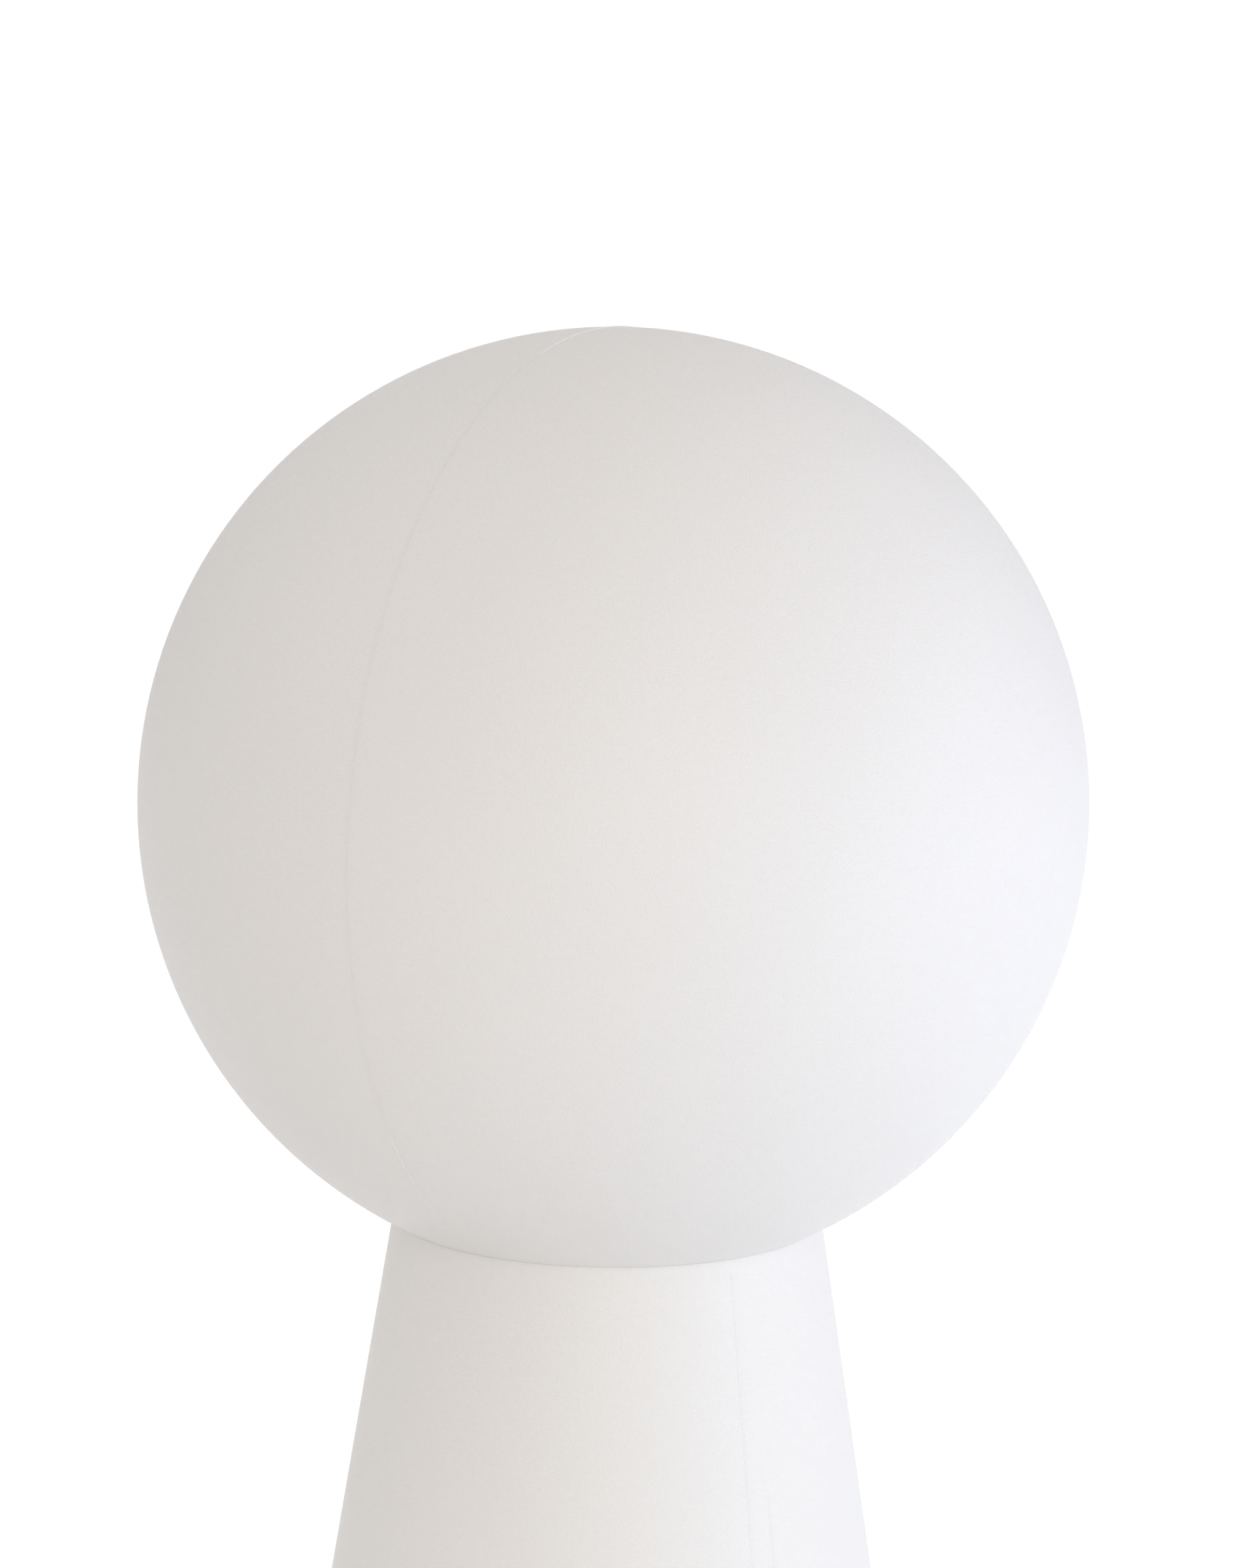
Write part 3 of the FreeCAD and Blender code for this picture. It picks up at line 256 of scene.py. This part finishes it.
def meridian_bead(name, width, height, first, last, steps, skin):
    """A low half-round bead on the globe's parting circle, between two angles from the pole."""
    shape = bead_section(width, height)
    turn(shape, math.radians(90), "X")
    bmesh.ops.translate(shape, verts=shape.verts, vec=(0, 0, GLOBE_RADIUS))
    turn(shape, first, "X")
    bmesh.ops.spin(shape, geom=shape.verts[:] + shape.edges[:], cent=(0, 0, 0), axis=(-1, 0, 0),
                   angle=first - last, steps=steps, use_merge=False, use_duplicate=False)
    for vert in shape.verts:
        angle = math.atan2(-vert.co.y, vert.co.z)
        taper = max(BEAD_TIP, min(1, (angle - first) / BEAD_TAPER, (last - angle) / BEAD_TAPER))
        reach = math.hypot(vert.co.y, vert.co.z)
        sunk = (GLOBE_RADIUS + (reach - GLOBE_RADIUS) * taper) / reach
        vert.co = (vert.co.x * taper, vert.co.y * sunk, vert.co.z * sunk)
    turn(shape, PARTING_LEAN, "Y")
    turn(shape, -PARTING_TURN, "Z")
    bmesh.ops.translate(shape, verts=shape.verts, vec=(0, 0, GLOBE_CENTRE))
    close_bead(shape)
    bead = new_piece(name, shape, "globe")
    bead.data.materials.append(skin)


# Flash is the same polyethylene, too thin to scatter light inside it. The weld and the taller low flash
# are painted a shade paler, as a painted highlight for the light that their raised crests catch.

flash_skin = moulded_polyethylene("moulded_polyethylene_flash", "#F0EBE7", "#EDE8E4", scatter=0)
highlight_bead_skin = moulded_polyethylene("moulded_polyethylene_painted_highlight", "#F9F6F3", "#F6F3F0", scatter=0)

meridian_bead("globe_parting_line", FLASH_WIDTH, FLASH_HEIGHT, -FLASH_END, FLASH_END, 240, flash_skin)
# The weld and the low flash take the paler skin, which is a painted highlight.
meridian_bead("globe_pinch_weld", WELD_WIDTH, WELD_HEIGHT, -WELD_REACH, WELD_REACH, 60, highlight_bead_skin)
meridian_bead("globe_neck_flash", LOW_FLASH_WIDTH, LOW_FLASH_HEIGHT, *LOW_FLASH, 24, highlight_bead_skin)


# ---------------------------------------------------------------- base
# A hollow cone of the same polyethylene. Its rim is cut to the globe's curve, and a well inside the
# rim takes the globe's neck. The lower edge turns in to a flange that the bottom plate closes.

SEAT_RADIUS = 0.115
SEAT_OVERLAP = 0.00003
CONE_SLOPE = 0.161
CONE_WALL = 0.004
WELL_RADIUS = 0.104
WELL_DRAFT = 0.0015
WELL_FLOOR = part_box("carrier_plate")[0].z
WELL_OPENING = 0.062
RIM_DEPTH = 0.011
RIM_ROUND = 0.00005
RIM_ROW = 0.001
SEAT_STEPS = 3
BASE_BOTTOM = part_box("base_cone")[0].z
PLATE_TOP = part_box("bottom_plate")[1].z
PLATE_RECESS = 0.183
BASE_OPENING = 0.168
EDGE_ROUND = 0.008
GLAND_ROWS = (0.025, 0.068)


def seat_height(reach):
    """Height of the rim's seat at a reach from the axis. It laps a hair into the globe, so no slit shows."""
    return GLOBE_CENTRE - math.sqrt((GLOBE_RADIUS - SEAT_OVERLAP) ** 2 - reach ** 2)


def cone_reach(height):
    """Outer radius of the base at a height."""
    return SEAT_RADIUS + CONE_SLOPE * (seat_height(SEAT_RADIUS) - height)


def turned(outline):
    """A bmesh spun about the lamp's axis from a closed half-section of (reach, height) corners."""
    shape = bmesh.new()
    verts = [shape.verts.new((reach, 0, height)) for reach, height in outline]
    for first, second in zip(verts, verts[1:] + verts[:1]):
        shape.edges.new((first, second))
    bmesh.ops.spin(shape, geom=shape.verts[:] + shape.edges[:], cent=(0, 0, 0), axis=(0, 0, 1),
                   angle=2 * math.pi, steps=ROUND_STEPS, use_merge=True, use_duplicate=False)
    bmesh.ops.remove_doubles(shape, verts=shape.verts, dist=0.000001)
    bmesh.ops.recalc_face_normals(shape, faces=shape.faces)
    return shape


# The outline runs up the outside, in over the seat, down the well, back under the well floor, down the
# inside of the cone, and round the flange and the plate's recess. The extra rows up the cone keep its
# faces even beside the gland hole and under the rim.

rim_row = seat_height(SEAT_RADIUS) - RIM_ROW
rim_inside = seat_height(SEAT_RADIUS) - RIM_DEPTH
foot_inside = BASE_BOTTOM + CONE_WALL
well_foot = WELL_RADIUS - WELL_DRAFT
seat_reaches = [SEAT_RADIUS + (WELL_RADIUS - SEAT_RADIUS) * step / SEAT_STEPS
                for step in range(SEAT_STEPS + 1)]
cone = turned([
    *[(cone_reach(height), height) for height in (BASE_BOTTOM, *GLAND_ROWS, rim_row)],
    *[(reach, seat_height(reach)) for reach in seat_reaches],
    (well_foot, WELL_FLOOR),
    (WELL_OPENING, WELL_FLOOR),
    (WELL_OPENING, WELL_FLOOR - CONE_WALL),
    (well_foot + CONE_WALL, WELL_FLOOR - CONE_WALL),
    (WELL_RADIUS + CONE_WALL, rim_inside),
    *[(cone_reach(height) - CONE_WALL, height) for height in (rim_inside, *GLAND_ROWS[::-1], foot_inside)],
    (PLATE_RECESS + CONE_WALL, foot_inside),
    (PLATE_RECESS + CONE_WALL, PLATE_TOP + CONE_WALL),
    (BASE_OPENING, PLATE_TOP + CONE_WALL),
    (BASE_OPENING, PLATE_TOP),
    (PLATE_RECESS, PLATE_TOP),
    (PLATE_RECESS, BASE_BOTTOM),
])
round_ring(cone, cone_reach(BASE_BOTTOM), BASE_BOTTOM, EDGE_ROUND, steps=8)
round_ring(cone, SEAT_RADIUS, seat_height(SEAT_RADIUS), RIM_ROUND, steps=3)
round_ring(cone, WELL_RADIUS, seat_height(WELL_RADIUS), RIM_ROUND, steps=3)
base = new_piece("base_shell", cone, "base")


# Drilled after moulding: the gland hole low at the back, six holes in the flange for the plate's screws,
# and three in the well floor for the carrier's.

HOLE_STEPS = 48
GLAND_HOLE = 0.0082
GLAND_CUT = 12 * CONE_WALL
PLATE_SCREWS = 6
PLATE_FIRST_TURN = 30
PLATE_CIRCLE = 0.175
PLATE_HOLE = 0.00215
CARRIER_SCREWS = 3
CARRIER_FIRST_TURN = 90
CARRIER_CIRCLE = 0.080
CARRIER_HOLE = 0.00205


def drill(shape, place, axis, radius, depth):
    """Add a round cutter to a bmesh, centred on a place and pointed along an axis."""
    aim = Vector(axis).to_track_quat("Z", "Y").to_matrix().to_4x4()
    bmesh.ops.create_cone(shape, cap_ends=True, segments=HOLE_STEPS, radius1=radius, radius2=radius,
                          depth=depth, matrix=Matrix.Translation(place) @ aim)


def drill_circle(shape, count, first_turn, circle, wall_middle, radius):
    """Add cutters through a level wall, evenly round the axis from a first turn in degrees."""
    for number in range(count):
        angle = math.radians(first_turn + number * 360 / count)
        place = (circle * math.cos(angle), circle * math.sin(angle), wall_middle)
        drill(shape, place, (0, 0, 1), radius, 2 * CONE_WALL)


holes = bmesh.new()
entry = next(mount for mount in frame["record"]["mounts"] if mount["name"] == "cable_entry")
drill(holes, entry["pos_m"], entry["axis"], GLAND_HOLE, GLAND_CUT)
drill_circle(holes, PLATE_SCREWS, PLATE_FIRST_TURN, PLATE_CIRCLE, PLATE_TOP + CONE_WALL / 2, PLATE_HOLE)
drill_circle(holes, CARRIER_SCREWS, CARRIER_FIRST_TURN, CARRIER_CIRCLE, WELL_FLOOR - CONE_WALL / 2,
             CARRIER_HOLE)
cutter = placed("hole_cutters", holes)
bored = base.modifiers.new("holes", "BOOLEAN")
bored.object = cutter
bored.solver = "EXACT"
finished = bpy.data.meshes.new_from_object(base.evaluated_get(bpy.context.evaluated_depsgraph_get()))
base.modifiers.clear()
base.data = finished
base.data.set_sharp_from_angle(angle=SHARP_ANGLE)
bpy.data.objects.remove(cutter)
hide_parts("base_cone")
base.data.materials.clear()
base.data.materials.append(moulded_polyethylene("moulded_polyethylene_base", "#EFEBE6", "#ECE8E3"))


# ---------------------------------------------------------------- base's parting lines
# The mould for the base closes on two sides, and leaves a faint raised line down each. A second,
# shorter line beside the front one marks where a loose piece of the mould meets the rest.

BASE_PARTING_TURN = math.radians(33)
LINE_WIDTH = 0.0007
LINE_HEIGHT = 0.00005
LINE_TOP = 0.6215
LINE_CLEARANCE = 0.004
LINE_BOTTOM = BASE_BOTTOM + EDGE_ROUND + LINE_CLEARANCE
SHORT_LINE_TURN = math.radians(38.6)
SHORT_LINE_TOP = 0.509


def cone_bead(name, angle, top):
    """A low half-round bead up the base's side, at an angle from the front towards the right."""
    shape = bead_section(LINE_WIDTH, LINE_HEIGHT)
    bmesh.ops.translate(shape, verts=shape.verts, vec=(0, -cone_reach(LINE_BOTTOM), LINE_BOTTOM))
    raised = bmesh.ops.extrude_edge_only(shape, edges=shape.edges[:])["geom"]
    bmesh.ops.translate(shape, verts=[item for item in raised if isinstance(item, bmesh.types.BMVert)],
                        vec=(0, CONE_SLOPE * (top - LINE_BOTTOM), top - LINE_BOTTOM))
    close_bead(shape)
    turn(shape, angle, "Z")
    bead = new_piece(name, shape, "base")
    bead.data.materials.append(flash_skin)


cone_bead("base_parting_front", BASE_PARTING_TURN, LINE_TOP)
cone_bead("base_parting_back", BASE_PARTING_TURN + math.pi, LINE_TOP)
cone_bead("base_insert_line", SHORT_LINE_TURN, SHORT_LINE_TOP)


# ---------------------------------------------------------------- fixings of zinc-plated steel
# Bottom plate, bracket, stem, nuts, washers and screws: rolled, bent or turned steel, zinc plated,
# which gives a bluish grey that is blotched in gloss and shade, with a faint drawn grain.

ZINC_ROUGHNESS = (0.26, 0.44)
ZINC_BLOTCH = 0.012
DRAWN_SPACING = 0.0006
DRAWN_DEPTH = 0.00004
STEM_PITCH = 0.001
THREAD_DEPTH = 0.0003
WAVE_TEXTURE_CREST = math.pi / 10


def zinc_steel(name, thread_pitch=None):
    """Zinc plate on steel, with a fine thread drawn as a bump where a pitch is given."""
    material, shader = new_finish(name, "#B9BCC0", 0.34, Metallic=1.0)
    place = add_node(material, "ShaderNodeTexCoord", {}).outputs["Object"]
    blotch = add_node(material, "ShaderNodeTexNoise",
                      {"Vector": place, "Scale": 1 / ZINC_BLOTCH, "Detail": 4, "Roughness": 0.6})
    least, most = ZINC_ROUGHNESS
    gloss = add_node(material, "ShaderNodeMapRange",
                     {"Value": blotch.outputs["Fac"], "To Min": least, "To Max": most})
    link(material, gloss.outputs["Result"], shader.inputs["Roughness"])
    shade = add_node(material, "ShaderNodeMix",
                     {"Factor": blotch.outputs["Fac"], "A": linear("#A9ADB3"), "B": linear("#C6C8CA")},
                     data_type="RGBA")
    link(material, shade.outputs["Result"], shader.inputs["Base Color"])
    if thread_pitch:
        ridge = add_node(material, "ShaderNodeTexWave",
                         {"Vector": place, "Scale": WAVE_TEXTURE_CREST / thread_pitch}, bands_direction="Z")
        bump = add_node(material, "ShaderNodeBump",
                        {"Height": ridge.outputs["Fac"], "Strength": 0.8, "Distance": THREAD_DEPTH})
    else:
        grain = add_node(material, "ShaderNodeTexNoise",
                         {"Vector": place, "Scale": 1 / DRAWN_SPACING, "Detail": 2, "Roughness": 0.5})
        bump = add_node(material, "ShaderNodeBump",
                        {"Height": grain.outputs["Fac"], "Strength": 0.25, "Distance": DRAWN_DEPTH})
    link(material, bump.outputs["Normal"], shader.inputs["Normal"])
    return material


def dress(material, *names):
    """Give CAD nodes a material."""
    for name in names:
        node = nodes[name]
        node.data.materials.clear()
        node.data.materials.append(material)


dress(zinc_steel("zinc_plated_steel"), "bottom_plate", "bottom_plate_screws", "feet_screws", "feet_nuts",
      "ballast_bolts", "ballast_washers", "ballast_nuts", "lower_stem_nuts", "upper_stem_nuts",
      "stem_washers", "stem_bracket", "bracket_screws", "carrier_screws", "terminal_block_screws",
      "earth_screw", "earth_nut")
dress(zinc_steel("zinc_plated_thread", STEM_PITCH), "stem_tube")


# ---------------------------------------------------------------- carrier plate and gasket
# A steel disc with six vents, powder coated white, which gives a satin skin with a fine peel. It is
# screwed down on the well floor. A ring of light grey cellular rubber, matt and open-pored, lies on it
# for the globe's neck.


def grained(name, colour, second, roughness, spacing, depth, **settings):
    """A finish with two close colours and a grain of one spacing and depth."""
    material, shader = new_finish(name, colour, roughness, **settings)
    place = add_node(material, "ShaderNodeTexCoord", {}).outputs["Object"]
    grain = add_node(material, "ShaderNodeTexNoise",
                     {"Vector": place, "Scale": 1 / spacing, "Detail": 3, "Roughness": 0.6})
    shade = add_node(material, "ShaderNodeMix",
                     {"Factor": grain.outputs["Fac"], "A": linear(colour), "B": linear(second)},
                     data_type="RGBA")
    link(material, shade.outputs["Result"], shader.inputs["Base Color"])
    bump = add_node(material, "ShaderNodeBump",
                    {"Height": grain.outputs["Fac"], "Strength": 0.5, "Distance": depth})
    link(material, bump.outputs["Normal"], shader.inputs["Normal"])
    return material


powder_coat = grained("powder_coat_white", "#E4E3DF", "#DAD9D5", roughness=0.45, spacing=0.0011,
                      depth=0.00008)
cellular_rubber = grained("cellular_rubber", "#B8B7B2", "#9D9C98", roughness=0.85, spacing=0.0012,
                          depth=0.0003)
dress(powder_coat, "carrier_plate")
dress(cellular_rubber, "seat_gasket")


# ---------------------------------------------------------------- ballast
# A sand-cast iron disc, dipped in black, that keeps the lamp upright. Its dull skin keeps the grain of
# the sand.

cast_iron = grained("sand_cast_iron", "#2C2C2E", "#3A3939", roughness=0.62, spacing=0.0018, depth=0.0005,
                    Metallic=0.4)
dress(cast_iron, "ballast_disc")


# ---------------------------------------------------------------- feet, gland and terminal block
# Feet and seal are dull black moulded rubber, and the gland is black nylon with a fine spark-eroded
# grain. The terminal block is natural nylon, a little see-through at its edges, with brass clamps.

rubber = grained("moulded_rubber", "#1D1D1E", "#262627", roughness=0.78, spacing=0.0009, depth=0.0001)
black_nylon = grained("black_nylon", "#1B1C1E", "#232427", roughness=0.48, spacing=0.0007, depth=0.00005)
natural_nylon = grained("natural_nylon", "#DCDAD0", "#D2D0C6", roughness=0.4, spacing=0.002, depth=0.00004,
                        Subsurface_Weight=0.15, Subsurface_Radius=(0.004, 0.004, 0.003),
                        Subsurface_Scale=1.0)
brass = grained("stamped_brass", "#C9A35A", "#B8924C", roughness=0.3, spacing=0.0014, depth=0.00003,
                Metallic=1.0)
dress(rubber, "rubber_feet", "gland_seal")
dress(black_nylon, "gland_body", "gland_cap", "gland_locknut")
dress(natural_nylon, "terminal_block")
dress(brass, "terminal_clamp_screws")


# ---------------------------------------------------------------- wiring
# A white PVC sheath holds a brown and a blue core. The earth lead is green and yellow, and its tag is
# tinned copper, a warm grey metal. Extruded PVC is smooth, with a soft gloss.

PVC_GRAIN = 0.0015
PVC_GRAIN_DEPTH = 0.00005
EARTH_LEAD_MIDDLE = 0.029


def two_tone(name, first, second, axis, level):
    """Extruded PVC in two colours, parted where one object axis passes a level."""
    material, shader = new_finish(name, first, 0.45)
    place = add_node(material, "ShaderNodeTexCoord", {}).outputs["Object"]
    parts = add_node(material, "ShaderNodeSeparateXYZ", {"Vector": place})
    over = add_node(material, "ShaderNodeMath", {0: parts.outputs[axis], 1: level},
                    operation="GREATER_THAN")
    grain = add_node(material, "ShaderNodeTexNoise", {"Vector": place, "Scale": 1 / PVC_GRAIN, "Detail": 2})
    shade = add_node(material, "ShaderNodeMix",
                     {"Factor": over.outputs[0], "A": linear(first), "B": linear(second)},
                     data_type="RGBA")
    link(material, shade.outputs["Result"], shader.inputs["Base Color"])
    bump = add_node(material, "ShaderNodeBump",
                    {"Height": grain.outputs["Fac"], "Strength": 0.3, "Distance": PVC_GRAIN_DEPTH})
    link(material, bump.outputs["Normal"], shader.inputs["Normal"])
    return material


sheath = grained("pvc_sheath_white", "#E1E0DC", "#D8D7D3", roughness=0.42, spacing=0.004, depth=0.0001)
tinned_copper = grained("tinned_copper", "#C3C0BA", "#B2AFA9", roughness=0.3, spacing=0.0012, depth=0.00003,
                        Metallic=1.0)
dress(sheath, "inner_lead")
dress(two_tone("pvc_cores_low", "#2C5B9B", "#5F3A22", "Y", 0.0), "lead_cores")
dress(two_tone("pvc_cores_high", "#2C5B9B", "#5F3A22", "X", 0.0), "holder_cores")
dress(two_tone("pvc_earth", "#D9C21B", "#3F8A35", "Z", EARTH_LEAD_MIDDLE), "earth_lead")
dress(tinned_copper, "earth_tag")


# ---------------------------------------------------------------- lampholder
# A white thermoplastic cap and shell with a soft gloss, around a core of steatite, which is matt and
# cream. The contacts are brass, and the nickel-plated sleeve is rolled to the E27 thread.

thermoplastic = grained("white_thermoplastic", "#E6E4DE", "#E0DED8", roughness=0.33, spacing=0.0016,
                        depth=0.00004)
steatite = grained("fired_steatite", "#DED8C9", "#CFC8B7", roughness=0.5, spacing=0.0008, depth=0.00008)
nickel = grained("nickel_plate", "#C9C6C0", "#BCB9B2", roughness=0.24, spacing=0.003, depth=0.00003,
                 Metallic=1.0)
dress(thermoplastic, "lampholder_cap", "lampholder_shell")
dress(steatite, "lampholder_core")
dress(brass, "lampholder_terminals", "lampholder_contact")
dress(nickel, "lampholder_sleeve")


# ---------------------------------------------------------------- bulb
# An LED bulb: opal polycarbonate, which glows a little from light that scatters in it, over a satin
# white housing and a nickel-plated screw cap with black glass and a brass contact at the tip. Inside are
# a white LED board and a green driver board.

housing = grained("bulb_housing_white", "#E4E3E0", "#DDDCD9", roughness=0.38, spacing=0.0014, depth=0.00004)
opal = grained("opal_polycarbonate", "#F6F5F1", "#F3F2EE", roughness=0.36, spacing=0.01, depth=0.00004,
               Subsurface_Weight=0.1, Subsurface_Radius=(0.002, 0.002, 0.0018), Subsurface_Scale=1.0)
black_glass = grained("black_glass", "#0C0A10", "#15121A", roughness=0.12, spacing=0.003, depth=0.00003)
white_mask = grained("white_solder_mask", "#ECECEA", "#E3E3E1", roughness=0.4, spacing=0.002, depth=0.00003)
green_mask = grained("green_solder_mask", "#1F5A33", "#1A4C2B", roughness=0.35, spacing=0.002, depth=0.00003)
dress(housing, "bulb_housing")
dress(opal, "bulb_diffuser")
dress(nickel, "bulb_screw_cap")
dress(black_glass, "bulb_tip_insulator")
dress(brass, "bulb_tip_contact")
dress(white_mask, "bulb_led_board")
dress(green_mask, "bulb_driver_board")


# ---------------------------------------------------------------- floor, light and camera
# A plain white floor in an even white room, with cool window light from the right, as a large soft box
# and a small low one, and a large warm box in front.

FLOOR_SIZE = 40.0
FLOOR_GLOW = 0.41
ROOM_LEVEL = 0.722
LAMP_TARGET = (0, 0, 0.8)


def stage_white(name, colour, glow):
    """A white floor finish that shows lighter to the camera, and still takes the lamp's shadow."""
    material, shader = new_finish(name, colour, 0.9)
    rays = add_node(material, "ShaderNodeLightPath", {})
    glossy = add_node(material, "ShaderNodeMath",
                      {0: rays.outputs["Is Camera Ray"], 1: rays.outputs["Is Glossy Ray"]},
                      operation="MAXIMUM")
    any_ray = add_node(material, "ShaderNodeMath",
                       {0: glossy.outputs[0], 1: rays.outputs["Is Transmission Ray"]}, operation="MAXIMUM")
    strength = add_node(material, "ShaderNodeMath", {0: any_ray.outputs[0], 1: glow}, operation="MULTIPLY")
    shader.inputs["Emission Color"].default_value = (1, 1, 1, 1)
    link(material, strength.outputs[0], shader.inputs["Emission Strength"])
    return material


floor_grid = bmesh.new()
bmesh.ops.create_grid(floor_grid, x_segments=1, y_segments=1, size=FLOOR_SIZE)
floor = placed("floor", floor_grid)
floor.data.materials.append(stage_white("studio_floor", "#F2F2F2", FLOOR_GLOW))

world = bpy.data.worlds.new("studio")
world.use_nodes = True
bpy.context.scene.world = world
sky = world.node_tree.nodes["Background"]
sky.inputs["Color"].default_value = (1, 1, 1, 1)
sky_rays = add_node(world, "ShaderNodeLightPath", {})
seen = add_node(world, "ShaderNodeMath",
                {0: sky_rays.outputs["Is Camera Ray"], 1: sky_rays.outputs["Is Transmission Ray"]},
                operation="MAXIMUM")
level = add_node(world, "ShaderNodeMapRange", {"Value": seen.outputs[0], "To Min": ROOM_LEVEL, "To Max": 1.0})
link(world, level.outputs["Result"], sky.inputs["Strength"])


def soft_lamp(name, place, size, power, colour):
    """A square soft box that points at the lamp."""
    lamp = bpy.data.lights.new(name, "AREA")
    lamp.shape = "SQUARE"
    lamp.size = size
    lamp.energy = power
    lamp.color = linear(colour)[:3]
    holder = bpy.data.objects.new(name, lamp)
    bpy.context.scene.collection.objects.link(holder)
    holder.location = place
    holder.rotation_euler = (Vector(LAMP_TARGET) - Vector(place)).to_track_quat("-Z", "Y").to_euler()


soft_lamp("window_right", (2.6, 0.0, 1.1), size=2.0, power=13.0, colour="#E5E4FF")
soft_lamp("window_right_low", (1.6, -0.9, 0.62), size=0.9, power=6.4, colour="#C0E0FF")
soft_lamp("room_front", (0.4, -3.0, 1.5), size=2.0, power=15.5, colour="#FFF6EF")

CAMERA_DISTANCE = 1.5
CAMERA_RISE = 0.154
CAMERA_YAW = math.radians(-0.274)
CAMERA_PITCH = math.radians(90 - 5.493)
CAMERA_ROLL = math.radians(0.90)
LENS = 65.1
SENSOR_WIDTH = 36
camera_data = bpy.data.cameras.new("camera")
camera_data.lens = LENS
camera_data.sensor_width = SENSOR_WIDTH
camera = bpy.data.objects.new("camera", camera_data)
bpy.context.scene.collection.objects.link(camera)
camera.location = (0, -CAMERA_DISTANCE, GLOBE_CENTRE + CAMERA_RISE)
camera_turn = Matrix.Rotation(CAMERA_YAW, 4, "Z") @ Matrix.Rotation(CAMERA_PITCH, 4, "X")
camera.rotation_euler = (camera_turn @ Matrix.Rotation(CAMERA_ROLL, 4, "Z")).to_euler()
bpy.context.scene.camera = camera
bpy.context.scene.view_settings.view_transform = "Standard"
